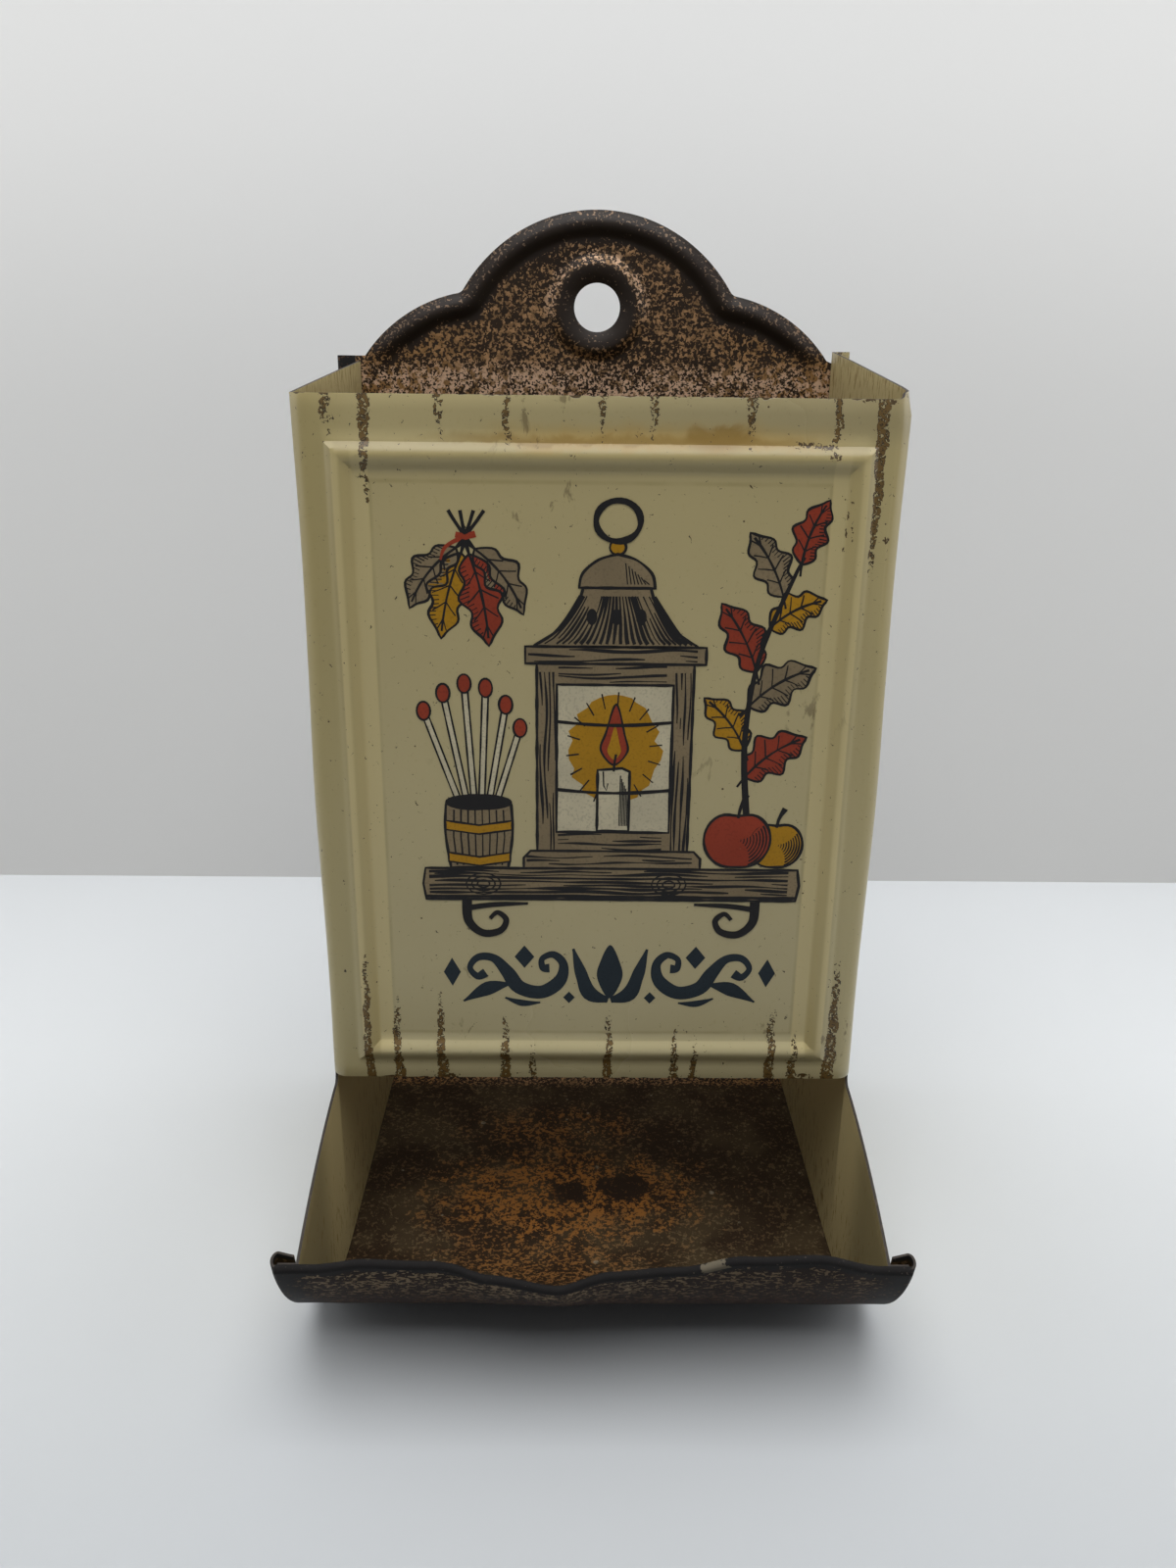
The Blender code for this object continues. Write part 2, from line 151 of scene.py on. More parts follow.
class HolderSizes(bpy.types.PropertyGroup):
    """Sizes of the two sheets."""

    sheet: length("Sheet", "Thickness of both sheets", 0.0004)
    seam_gap: length("Seam gap", "Gap between the layers of a seam", 0.0003)
    body_width: length("Box width", "Width over the box's sides", 0.082)
    body_depth: length("Box depth", "From the back plate's face to the front panel's face", 0.0558)
    panel_height: length("Panel height", "Height of the front panel", 0.1023)
    mouth_height: length("Mouth height", "From the floor's face to the front panel", 0.0353)
    corner_radius: length("Corner radius", "Radius of the box's front corners", 0.0025)
    side_rise: length("Side rise", "Rise of the sides' upper edges towards the back", 0.0042)
    ridge_side: length("Ridge side margin", "From the box's side to the ridge", 0.0053)
    ridge_top: length("Ridge top margin", "From the panel's top to the ridge", 0.0060)
    ridge_bottom: length("Ridge bottom margin", "From the panel's foot to the ridge", 0.0032)
    ridge_outer: length("Ridge outer flank", "Width of the ridge's outer flank", 0.0025)
    ridge_inner: length("Ridge inner flank", "Width of the ridge's inner flank", 0.0025)
    ridge_height: length("Ridge height", "How far the ridge stands out", 0.00086)
    cheek_drop: length("Cheek drop", "From the panel's foot down to the cheek", 0.0025)
    cheek_bow: length("Cheek bow", "Bow of the cheek's upper edge", 0.0012)
    cheek_relief: length("Cheek relief", "Radius of the cheek's inner corner", 0.0015)
    hem_reach: length("Hem reach", "How far the hems stand out from the box's sides", 0.00345)
    hem_spare: length("Hem spare", "From the flange's edge to the fold of the hem", 0.0005)
    hem_open: length("Hem opening", "How far the hems open at the lip", 0.0007)
    overall_depth: length("Overall depth", "Over the back plate and the lip", CAD_BOX[1].y - CAD_BOX[0].y)
    rear_bend: length("Rear bend", "Radius of the bend under the back plate", 0.003)
    scoop_radius: length("Scoop radius", "Radius of the scoop's inner face", 0.037)
    lip_roll: length("Lip roll", "Radius of the rolled lip", 0.00040)
    lip_return: length("Lip return", "Length of the lip's turned-down edge", 0.0004)
    lip_bulge: length("Lip bulge", "How far the dip in the lip is pushed forwards", 0.0018)
    print_shift: length("Print shift", "How far right of the middle the print sits", 0.0024)
    print_layer: length("Print layer", "Thickness of one layer of ink", 0.00001)
    print_swell: proportion("Print swell", "Height of a pen line for each mm of its half width", 0.00002)
    side_lift: length("Side lift", "How far the right side stands above the panel", 0.0009)
    corner_wear: length("Corner wear", "How far the upper right corner is pressed in", 0.0011)
    slip: length("Slip", "How far the right seam has slipped, flange up and hem down", 0.0015)
    shoulder_rise: length("Shoulder rise", "From the sides' rear corners to the shoulders", 0.0009)
    shoulder_inset: length("Shoulder inset", "From the box's side to the shoulder", 0.0012)
    notch_radius: length("Notch radius", "Radius between the crown and a lobe", 0.0016)
    rim_width: length("Rim width", "Width of the rolled rim", 0.0042)
    rim_height: length("Rim height", "Height of the rolled rim", 0.0010)
    rim_fade: length("Rim fade", "Height over which the rim runs out", 0.0060)
    hole_radius: length("Hole radius", "Radius of the hanging hole", 0.00395)
    ring_inner: length("Ring inner flank", "From the hole to the ring's crest", 0.00265)
    ring_outer: length("Ring outer flank", "From the ring's crest to its foot", 0.0021)
    ring_height: length("Ring height", "Height of the ring", 0.0010)
    ring_lip: length("Ring lip", "Height of the hole's edge", 0.0002)
    ring_clearance: length("Ring clearance", "From the ring to the rim above it", 0.0022)
    crown_radius: proportion("Crown radius", "Share of the half width", 0.674)
    crown_drop: proportion("Crown drop", "Share of the half width", 0.0905)
    lobe_radius: proportion("Lobe radius", "Share of the half width", 0.662)
    lobe_drop: proportion("Lobe drop", "Share of the half width", 0.396)
    scoop_angle: turning("Scoop angle", "Turn of the scoop", math.radians(70.75))
    flange_angle: turning("Flange angle", "Turn of the cheeks' flanges", math.radians(69.75))
    lip_wave: turning("Lip wave", "Turn of the lip's highest wave", math.radians(4.5))
    panel_dent: length("Panel dents", "Depth of the front panel's dents", 0.00022)
    side_dent: length("Side dents", "Depth of the sides' dents", 0.00035)
    lip_dent: length("Lip dents", "Depth of the lip's small dents", 0.00035)
    rim_bulge: length("Rim bulge", "How far the rim's ends bulge out at the shoulders", 0.001)


class HolderFinish(bpy.types.PropertyGroup):
    """Colours of the finishes."""

    cream: colour("Cream", "Paint of the box", (0.545, 0.454, 0.222))
    cream_low: colour("Cream low down", "Greyer paint towards the panel's foot", (0.505, 0.455, 0.280))
    cream_inside: colour("Cream inside", "Paint inside the box", (0.36, 0.295, 0.145))
    stain: colour("Stain", "Rust stain on the paint", (0.47, 0.285, 0.055))
    streak: colour("Streak", "Brown streaks on the paint", (0.150, 0.086, 0.020))
    raw_edge: colour("Raw edge", "Cut edges of the sheets", (0.022, 0.015, 0.010))
    bronze_dark: colour("Bronze ground", "Dark ground of the bronze", (0.022, 0.014, 0.009))
    bronze_speck: colour("Bronze specks", "Copper specks on the bronze", (0.42, 0.245, 0.120))
    # Painted highlight: the bright specks on the back plate's foot and in the crescent over the ring
    bronze_highlight: colour("Bright specks", "Worn bright specks", (0.68, 0.47, 0.33))
    rust: colour("Rust", "Rust specks in the tray", (0.29, 0.118, 0.026))
    print_wood: colour("Print wood", "Taupe ink", (0.27, 0.205, 0.115))
    print_mustard: colour("Print mustard", "Mustard ink", (0.48, 0.245, 0.010))
    print_red: colour("Print red", "Brick red ink", (0.33, 0.045, 0.018))
    print_pale: colour("Print pale", "Pale ink", (0.68, 0.61, 0.42))
    print_ink: colour("Print ink", "Black ink", (0.005, 0.004, 0.004))
    print_slate: colour("Print slate", "Dark slate ink", (0.011, 0.020, 0.028))
    charcoal: colour("Charcoal", "Plain dark lacquer", (0.012, 0.011, 0.011))


def lay_out(size):
    """Places that follow from the sizes."""
    half_sheet = size.sheet / 2
    at = SimpleNamespace(half_sheet=half_sheet, floor_z=size.sheet)
    at.back_y = size.overall_depth / 2 - size.sheet
    at.front_y = at.back_y - size.body_depth
    at.panel_low = at.floor_z + size.mouth_height
    at.panel_high = at.panel_low + size.panel_height
    at.cheek_z = at.panel_low - size.cheek_drop
    at.side_top = at.panel_high + size.side_rise
    at.scoop_z = at.floor_z + size.scoop_radius
    at.tray_layer = -half_sheet
    at.flange_layer = size.seam_gap + half_sheet
    at.hem_layer = at.flange_layer + size.sheet + size.seam_gap
    at.fold_radius = (at.hem_layer - at.tray_layer) / 2
    at.side_x = size.body_width / 2 - half_sheet
    at.hem_outer = size.body_width / 2 + size.hem_reach
    at.fold_x = at.hem_outer - half_sheet - at.fold_radius
    at.hem_end = size.body_width / 2 + size.seam_gap
    at.flange_x = at.hem_outer - size.sheet - size.hem_spare
    at.shoulder_x = size.body_width / 2 - size.shoulder_inset
    at.shoulder_z = at.side_top + size.shoulder_rise
    at.crown_radius = at.shoulder_x * size.crown_radius
    at.crown = Vector((0, 0, at.shoulder_z - at.shoulder_x * size.crown_drop))
    at.lobe_radius = at.shoulder_x * size.lobe_radius
    drop = at.shoulder_x * size.lobe_drop
    at.lobe = Vector((at.shoulder_x - math.sqrt(at.lobe_radius**2 - drop**2), 0, at.shoulder_z - drop))
    at.ring_crest = size.hole_radius + size.ring_inner
    at.ring_radius = at.ring_crest + size.ring_outer
    at.hole_z = at.crown.z + at.crown_radius - size.rim_width - size.ring_clearance - at.ring_radius
    at.row_z = min(at.shoulder_z, at.hole_z - at.ring_radius) - size.rim_width
    at.row = [at.shoulder_x * (2 * i / STEPS_ACROSS - 1) for i in range(STEPS_ACROSS + 1)]
    at.scoop_y = max(lip_reach(size, at, x) for x in at.row) - size.overall_depth / 2
    at.ridge_low = at.panel_low + size.ridge_bottom
    at.ridge_high = at.panel_high - size.ridge_top
    at.ridge_x = size.body_width / 2 - size.ridge_side
    return at


def smooth(share):
    """Eased 0 to 1."""
    share = min(max(share, 0.0), 1.0)
    return share * share * (3 - 2 * share)


def bead(share):
    """Rounded rise from 0 to 1 that starts with a short hollow."""
    return 0.30 * smooth(share) + 0.70 * math.sin(math.pi / 2 * share)


def lip_wave(at, x):
    """Rise of the lip at x as a share of its wave."""
    place = x / at.shoulder_x
    for (left, low), (right, high) in zip(LIP_WAVE_SHARES, LIP_WAVE_SHARES[1:]):
        if left <= place <= right:
            return low + (high - low) * smooth((place - left) / (right - left))
    return 0.0


def lip_reach(size, at, x):
    """How far in front of the scoop's centre the lip's roll comes at x."""
    wave = lip_wave(at, x)
    angle = size.scoop_angle + size.lip_wave * wave
    roll = (size.scoop_radius + at.half_sheet + size.lip_roll) * math.sin(angle)
    return roll + size.lip_roll + at.half_sheet + size.lip_bulge * max(0.0, -wave)


def arc(centre, radius, start, end, steps):
    """Points on an arc, with its angles counted from the first axis towards the second."""
    turns = [start + (end - start) * i / steps for i in range(steps + 1)]
    return [(centre[0] + radius * math.cos(turn), centre[1] + radius * math.sin(turn)) for turn in turns]


def strip(bm, points):
    """A chain of edges through the points."""
    verts = [bm.verts.new(point) for point in points]
    return [bm.edges.new(pair) for pair in zip(verts, verts[1:])]


def extruded(bm, edges, offset):
    """Extrudes the edges by offset and returns the new ones."""
    made = bmesh.ops.extrude_edge_only(bm, edges=edges)["geom"]
    verts = [item for item in made if isinstance(item, bmesh.types.BMVert)]
    bmesh.ops.translate(bm, verts=verts, vec=offset)
    return [item for item in made if isinstance(item, bmesh.types.BMEdge)]


def spun(bm, edges, centre, axis, angle, steps):
    """Spins the edges about an axis and returns the last ones."""
    geom = edges + list({vert for edge in edges for vert in edge.verts})
    made = bmesh.ops.spin(bm, geom=geom, cent=centre, axis=axis, angle=angle, steps=steps)["geom_last"]
    return [item for item in made if isinstance(item, bmesh.types.BMEdge)]


def cut_across(bm, normal, places):
    """Cuts every face by parallel planes at the given places along the normal."""
    for place in places:
        geom = bm.verts[:] + bm.edges[:] + bm.faces[:]
        bmesh.ops.bisect_plane(bm, geom=geom, dist=WELD, plane_co=place * Vector(normal), plane_no=normal)


def sheet_piece(name, bm, size, node, materials, side):
    """Makes the open sheet an object with its thickness, its three finishes and its place in the frame.

    The materials are the front's, the reverse's and the cut edges'. The largest upright face before
    (side -1) or behind (side 1) the middle shows where the front is.
    """
    bmesh.ops.remove_doubles(bm, verts=bm.verts, dist=WELD)
    bmesh.ops.recalc_face_normals(bm, faces=bm.faces)
    upright = [face for face in bm.faces if abs(face.normal.y) > UPRIGHT_SHARE]
    upright = [face for face in upright if side * face.calc_center_median().y > 0]
    if max(upright, key=lambda face: face.calc_area()).normal.y > 0:
        bmesh.ops.reverse_faces(bm, faces=bm.faces)
    mesh = bpy.data.meshes.new(name)
    bm.to_mesh(mesh)
    bm.free()
    mesh.shade_smooth()
    mesh.set_sharp_from_angle(angle=SHARP_ANGLE)
    for material in materials:
        mesh.materials.append(material)
    piece = bpy.data.objects.new(name, mesh)
    bpy.context.scene.collection.objects.link(piece)
    solidify = piece.modifiers.new("sheet", "SOLIDIFY")
    solidify.thickness = size.sheet
    solidify.offset = 0
    solidify.use_even_offset = True
    solidify.use_quality_normals = True
    solidify.material_offset = 1
    solidify.material_offset_rim = 2
    bevel = piece.modifiers.new("edges", "BEVEL")
    bevel.width = size.sheet * ROUNDED_SHARE
    bevel.segments = 2
    bevel.limit_method = "ANGLE"
    bevel.angle_limit = ROUNDED_ANGLE
    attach(piece, "root")
    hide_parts(node)


# Painted sheet


def front_panel(bm, size, at):
    """The front panel between its rounded corners, with the ridge pressed out of it."""
    mid_y = at.front_y + at.half_sheet
    edge_x = size.body_width / 2 - size.corner_radius
    low, high = at.panel_low, at.panel_high
    corners = [(-edge_x, low), (edge_x, low), (edge_x, high), (-edge_x, high)]
    panel = bm.faces.new([bm.verts.new((x, mid_y, z)) for x, z in corners])
    panel.normal_update()
    bmesh.ops.inset_individual(bm, faces=[panel], thickness=size.ridge_side - size.corner_radius, depth=0)
    for vert in panel.verts:
        vert.co.z = at.ridge_high if vert.co.z > (low + high) / 2 else at.ridge_low
    rises = [size.ridge_height * bead(i / FLANK_STEPS) for i in range(FLANK_STEPS + 1)]
    climb = [after - before for before, after in zip(rises, rises[1:])]
    for width, steps in ((size.ridge_outer, climb), (size.ridge_inner, [-rise for rise in climb[::-1]])):
        for rise in steps:
            bmesh.ops.inset_individual(bm, faces=[panel], thickness=width / FLANK_STEPS, depth=rise)
    sides = {-1: [], 1: []}
    for edge in bm.edges:
        for hand, found in sides.items():
            if all(hand * vert.co.x > edge_x - WELD for vert in edge.verts):
                found.append(edge)
    return sides


def seam_path(size, at, layer, end_angle):
    """Points of one layer of the seam in the side view: down the back, along the floor and up the scoop."""
    bend = (at.back_y - size.rear_bend, at.floor_z + size.rear_bend)
    down = -math.pi / 2
    rear = arc(bend, size.rear_bend - layer, 0, down, BEND_STEPS)
    scoop = arc((at.scoop_y, at.scoop_z), size.scoop_radius - layer, down, down - end_angle, SCOOP_STEPS)
    return [(at.back_y - layer, at.shoulder_z), *rear, *scoop]


def side_outline(size, at):
    """The side's outline: its seam first, then the cheek's upper edge and the panel's corner."""
    seam = seam_path(size, at, at.flange_layer, size.flange_angle)
    corner_y = at.front_y + size.corner_radius
    centre = (corner_y - size.cheek_relief, at.cheek_z + size.cheek_relief)
    relief = arc(centre, size.cheek_relief, -math.pi / 2, 0, RELIEF_STEPS)
    cheek = []
    for i in range(1, CHEEK_STEPS):
        share = i / CHEEK_STEPS
        y = seam[-1][0] + (relief[0][0] - seam[-1][0]) * share
        z = seam[-1][1] + (relief[0][1] - seam[-1][1]) * share + size.cheek_bow * 4 * share * (1 - share)
        cheek.append((y, z))
    seam[0] = (seam[0][0], at.side_top)
    return seam, [*cheek, *relief, (corner_y, at.panel_low), (corner_y, at.panel_high)]


def painted_sheet(bm, size, at):
    """Front panel, sides, cheeks and flanges."""
    for hand, corner in front_panel(bm, size, at).items():
        pivot = (hand * (size.body_width / 2 - size.corner_radius), at.front_y + size.corner_radius, 0)
        spun(bm, corner, pivot, (0, 0, 1), hand * math.pi / 2, CORNER_STEPS)
        seam, front = side_outline(size, at)
        if hand > 0:
            seam[0] = (seam[0][0], at.side_top + size.slip)
        verts = [bm.verts.new((hand * at.side_x, y, z)) for y, z in seam + front]
        bm.faces.new(verts)
        folds = [bm.edges.get(pair) for pair in zip(verts, verts[1 : len(seam)])]
        extruded(bm, folds, (hand * (at.flange_x - at.side_x), 0, 0))
    bmesh.ops.remove_doubles(bm, verts=bm.verts, dist=WELD)
    across, up = grid_places(size, at)
    cut_across(bm, (1, 0, 0), across)
    cut_across(bm, (0, 0, 1), up)
    cut_across(bm, (0, 1, 0), [at.front_y + size.body_depth * i / SIDE_STEPS for i in range(1, SIDE_STEPS)])


def handled(bm, size, at):
    """Pushes the painted sheet in and out a little, as years of handling do, and leaves its seams alone."""
    half = size.body_width / 2
    worn, deep = size.corner_wear * 2, size.corner_wear * 5
    for vert in bm.verts:
        x, y, z = vert.co
        aside = smooth((x - half + size.corner_radius) / size.corner_radius)
        high = smooth((z - at.panel_high + worn) / worn)
        near = smooth((at.front_y + deep - y) / deep)
        vert.co.z += size.side_lift * aside * high
        pressed = high * near * smooth((x - half + worn) / worn)
        vert.co.x -= size.corner_wear * pressed
        vert.co.y += size.corner_wear * 0.4 * pressed
        if abs(x) > half - size.corner_radius:
            free = above_seams(at, z) * smooth((at.back_y - y) / DENT_FADE)
            vert.co.x += math.copysign(size.side_dent, x) * free * noise.noise(Vector((5, y * 45, z * 30)))
        else:
            vert.co.y += dent(size, at, x, z)


def above_seams(at, z):
    """0 at the floor's seams and 1 well above them."""
    return smooth((z - at.panel_low * 0.8) / DENT_FADE)


def dent(size, at, x, z):
    """How far handling has pushed the front panel in at a place."""
    wide = noise.noise(Vector((x * 40, 3, z * 34)))
    return size.panel_dent * above_seams(at, z) * (wide + 0.22 * noise.noise(Vector((x * 110, 7, z * 90))))


def grid_places(size, at):
    """Where the front panel is cut, across and up, so that it bends with the dents."""
    across = [size.body_width * (i / PANEL_STEPS_ACROSS - 0.5) for i in range(2, PANEL_STEPS_ACROSS - 1)]
    up = [at.panel_low + size.panel_height * i / PANEL_STEPS_UP for i in range(PANEL_STEPS_UP + 1)]
    return across, up


# Bronze sheet


def seam_row(bm, size, at):
    """Edges across the bronze sheet, from one hem's end round both folds to the other's."""
    tray_y = at.back_y - at.tray_layer
    fold_y = tray_y - at.fold_radius
    right = [(at.hem_end, at.back_y - at.hem_layer)]
    right += arc((at.fold_x, fold_y), at.fold_radius, -math.pi / 2, math.pi / 2, HEM_STEPS)
    left = [(-x, y) for x, y in right]
    flat = [(x, tray_y) for x in at.row]
    return strip(bm, [(x, y, at.row_z) for x, y in left + flat + right[::-1]])


def bend_lip(bm, size, at):
    """Turns the scoop's points about its centre by the lip's wave, and pushes the dip forwards.

    The hems keep their turn and open a little at the lip. Each point keeps its turn from the floor,
    as it was before the wave, as the attribute turn.
    """
    turn = bm.verts.layers.float.new("turn")
    for vert in bm.verts:
        across = vert.co.y - at.scoop_y
        below = at.scoop_z - vert.co.z
        if across >= 0 or vert.co.z > at.scoop_z:
            continue
        radius = math.hypot(across, below)
        angle = math.atan2(-across, below)
        vert[turn] = angle
        if abs(vert.co.x) > at.shoulder_x:
            over = (size.scoop_radius + at.half_sheet - radius) / (2 * at.fold_radius)
            wide = (abs(vert.co.x) - at.hem_end) / (at.hem_outer - at.hem_end)
            near = (angle - size.scoop_angle) / OPEN_TURN + 1
            if over > OPEN_FROM_SHARE:
                radius -= size.hem_open * over * smooth(near) * smooth(0.3 + wide)
                vert.co.y = at.scoop_y - radius * math.sin(angle)
                vert.co.z = at.scoop_z - radius * math.cos(angle)
            continue
        share = min(angle / size.scoop_angle, 1.0)
        wave = lip_wave(at, vert.co.x)
        turned = angle + size.lip_wave * wave * share
        pushed = size.lip_bulge * max(0.0, -wave) * smooth(2 * share - 1)
        radius += size.lip_dent * share**2 * noise.noise(Vector((vert.co.x * 130, 2, 0)))
        vert.co.y = at.scoop_y - radius * math.sin(turned) - pushed
        vert.co.z = at.scoop_z - radius * math.cos(turned)


def floor_and_scoop(bm, row, size, at):
    """Runs the row down the back, round the rear bend, along the floor, up the scoop and over the lip."""
    bend_z = at.floor_z + size.rear_bend
    edges = extruded(bm, row, (0, 0, bend_z - at.row_z))
    edges = spun(bm, edges, (0, at.back_y - size.rear_bend, bend_z), (1, 0, 0), -math.pi / 2, BEND_STEPS)
    edges = extruded(bm, edges, (0, at.scoop_y - at.back_y + size.rear_bend, 0))
    edges = spun(bm, edges, (0, at.scoop_y, at.scoop_z), (1, 0, 0), -size.scoop_angle, SCOOP_STEPS)
    flat = size.scoop_radius + at.half_sheet

    def in_tray(vert):
        away = math.hypot(vert.co.y - at.scoop_y, vert.co.z - at.scoop_z) - flat
        return abs(away) < WELD and abs(vert.co.x) < at.fold_x + WELD

    lip = [edge for edge in edges if all(in_tray(vert) for vert in edge.verts)]
    reach = flat + size.lip_roll
    turn = size.scoop_angle
    centre = (0, at.scoop_y - reach * math.sin(turn), at.scoop_z - reach * math.cos(turn))
    lip = spun(bm, lip, centre, (1, 0, 0), math.pi, ROLL_STEPS)
    extruded(bm, lip, size.lip_return * Vector((0, math.cos(turn), -math.sin(turn))))


def notch_centre(size, at, hand):
    """Centre of the notch's fillet, which touches the crown's circle and the lobe's from outside."""
    lobe = Vector((hand * at.lobe.x, 0, at.lobe.z))
    to_lobe = lobe - at.crown
    from_crown = at.crown_radius + size.notch_radius
    from_lobe = at.lobe_radius + size.notch_radius
    along = (from_crown**2 - from_lobe**2 + to_lobe.length_squared) / (2 * to_lobe.length)
    aside = math.sqrt(from_crown**2 - along**2)
    unit = to_lobe.normalized()
    return at.crown + unit * along + Vector((-unit.z, 0, unit.x)) * aside * hand


def head_rim(bm, size, at):
    """The rolled rim of the head: its section swept round the crown, the notches and the lobes."""
    flat_y = at.back_y - at.tray_layer
    top = at.crown.z + at.crown_radius
    reach = size.rim_width * RIM_REACH_SHARE
    points = []
    for i in range(RIM_STEPS + 1):
        share = i / RIM_STEPS
        rise = size.rim_height * math.sin(math.pi * share) ** 1.5
        points.append((0, flat_y - rise, top - size.rim_width * share))
    points.append((0, flat_y, top - reach))
    section = strip(bm, points)
    for hand in (-1, 1):
        lobe = Vector((hand * at.lobe.x, 0, at.lobe.z))
        notch = notch_centre(size, at, hand)
        crown_turn = math.atan2(abs(notch.x), notch.z - at.crown.z)
        lobe_turn = math.atan2(abs(notch.x - lobe.x), notch.z - lobe.z)
        end_turn = math.acos(size.lobe_drop / size.lobe_radius)
        edges = spun(bm, section, at.crown, (0, 1, 0), hand * crown_turn, CROWN_STEPS)
        edges = spun(bm, edges, notch, (0, 1, 0), hand * (lobe_turn - crown_turn), NOTCH_STEPS)
        edges = spun(bm, edges, lobe, (0, 1, 0), hand * (end_turn - lobe_turn), LOBE_STEPS)
        onwards = Vector((hand * math.cos(end_turn), 0, -math.sin(end_turn)))
        for vert in {vert for edge in edges for vert in edge.verts}:
            inset = at.lobe_radius - math.hypot(vert.co.x - lobe.x, vert.co.z - lobe.z)
            share = inset / reach
            vert.co += onwards * size.rim_bulge * 4 * share * (1 - share)
    for vert in bm.verts:
        run_out = smooth((vert.co.z - at.shoulder_z + size.rim_width / 2) / size.rim_fade)
        vert.co.y = flat_y + (vert.co.y - flat_y) * run_out


def hanging_ring(bm, size, at):
    """The ring pressed round the hanging hole."""
    flat_y = at.back_y - at.tray_layer
    points = []
    for i in range(RING_FLANK_STEPS + 1):
        share = i / RING_FLANK_STEPS
        rise = size.ring_lip + (size.ring_height - size.ring_lip) * math.sin(math.pi / 2 * share)
        points.append((0, flat_y - rise, at.hole_z + size.hole_radius + size.ring_inner * share))
    for i in range(1, RING_FLANK_STEPS + 1):
        share = i / RING_FLANK_STEPS
        rise = size.ring_height * (1 - smooth(share))
        points.append((0, flat_y - rise, at.hole_z + at.ring_crest + size.ring_outer * share))
    points.append((0, flat_y, at.hole_z + at.ring_radius * RING_REACH_SHARE))
    spun(bm, strip(bm, points), (0, 0, at.hole_z), (0, 1, 0), 2 * math.pi, RING_STEPS)


def head_field(bm, size, at):
    """Fills the flat of the head between the rim, the ring and the row below."""
    border = []
    for edge in bm.edges:
        middle = (edge.verts[0].co + edge.verts[1].co) / 2
        hole = math.hypot(middle.x, middle.z - at.hole_z) < at.ring_crest
        outline = middle.z > at.shoulder_z and on_outline(edge, size, at)
        if len(edge.link_faces) < 2 and not hole and not outline and abs(middle.x) < at.shoulder_x + WELD:
            border.append(edge)
    bmesh.ops.triangle_fill(bm, use_beauty=True, use_dissolve=False, edges=border)


def on_outline(edge, size, at):
    """True for an edge of the head's outer outline."""
    for vert in edge.verts:
        hand = math.copysign(1, vert.co.x)
        place = Vector((vert.co.x, 0, vert.co.z))
        gaps = (
            abs((place - at.crown).length - at.crown_radius),
            abs((place - Vector((hand * at.lobe.x, 0, at.lobe.z))).length - at.lobe_radius),
            abs((place - notch_centre(size, at, hand)).length - size.notch_radius),
        )
        if min(gaps) > WELD:
            return False
    return True


def bronze_sheet(bm, size, at):
    """Scalloped back plate, floor and scoop, hemmed at the sides."""
    head_rim(bm, size, at)
    hanging_ring(bm, size, at)
    row = seam_row(bm, size, at)
    hems = [edge for edge in row if all(abs(vert.co.x) > at.shoulder_x - WELD for vert in edge.verts)]
    extruded(bm, hems, (0, 0, at.shoulder_z - at.row_z))
    bmesh.ops.remove_doubles(bm, verts=bm.verts, dist=WELD)
    for vert in bm.verts:
        if vert.co.x > at.shoulder_x + size.seam_gap and vert.co.z > at.row_z + WELD:
            vert.co.z -= size.slip
    head_field(bm, size, at)
    row = [edge for edge in bm.edges if all(abs(vert.co.z - at.row_z) < WELD for vert in edge.verts)]
    floor_and_scoop(bm, row, size, at)
    bend_lip(bm, size, at)


# Printed decoration, drawn in millimetres across and up the panel


class Drawing:
    """Flat shapes and pen lines by colour, above a foot line. Higher levels lie over lower ones."""

    def __init__(self, foot):
        self.foot = foot
        self.shapes = []
        self.lines = []
        self.level = 0

    def mark(self, tone, marks, closed=False, lift=0.5):
        """A line through points that each have their own half width."""
        raised = [(x, self.foot + z, half) for x, z, half in marks]
        self.lines.append((tone, self.level + lift, raised, closed))

    def line(self, points, width, tone="ink", closed=False, lift=0.5):
        """A pen line through the points that swells and thins a little."""
        marks = []
        for x, z in points:
            swell = 1 + 0.45 * noise.noise(Vector((x * 0.45, (self.foot + z) * 0.45, self.level)))
            marks.append((x, z, width / 2 * swell))
        self.mark(tone, marks, closed, lift)

    def stroke(self, points, widths, tone="ink"):
        """A smooth stroke whose width runs through the given widths."""
        path = run_through(points)
        marks = []
        for i, (x, z) in enumerate(path):
            place = i / (len(path) - 1) * (len(widths) - 1)
            low = min(int(place), len(widths) - 2)
            share = smooth(place - low)
            marks.append((x, z, (widths[low] * (1 - share) + widths[low + 1] * share) / 2))
        self.mark(tone, marks)

    def shape(self, tone, outline, *holes, pen=0.42):
        """A filled shape with an ink outline, or with none where the pen is 0."""
        edges = (outline, *holes)
        self.shapes.append((tone, self.level, [[(x, self.foot + z) for x, z in edge] for edge in edges]))
        for edge in edges:
            if pen:
                self.line(dense(edge), pen, closed=True)


def run_through(points, closed=False, steps=6):
    """Points of a smooth line through the given ones."""
    count = len(points)
    places = [Vector((x, z, 0)) for x, z in points]
    made = []
    for i in range(count if closed else count - 1):
        picks = range(i - 1, i + 3)
        near = [places[k % count if closed else min(max(k, 0), count - 1)] for k in picks]
        leave = near[1] + (near[2] - near[0]) / 6
        arrive = near[2] - (near[3] - near[1]) / 6
        made += interpolate_bezier(near[1], leave, arrive, near[2], steps + 1)[:-1]
    if not closed:
        made.append(places[-1])
    return [(place.x, place.y) for place in made]


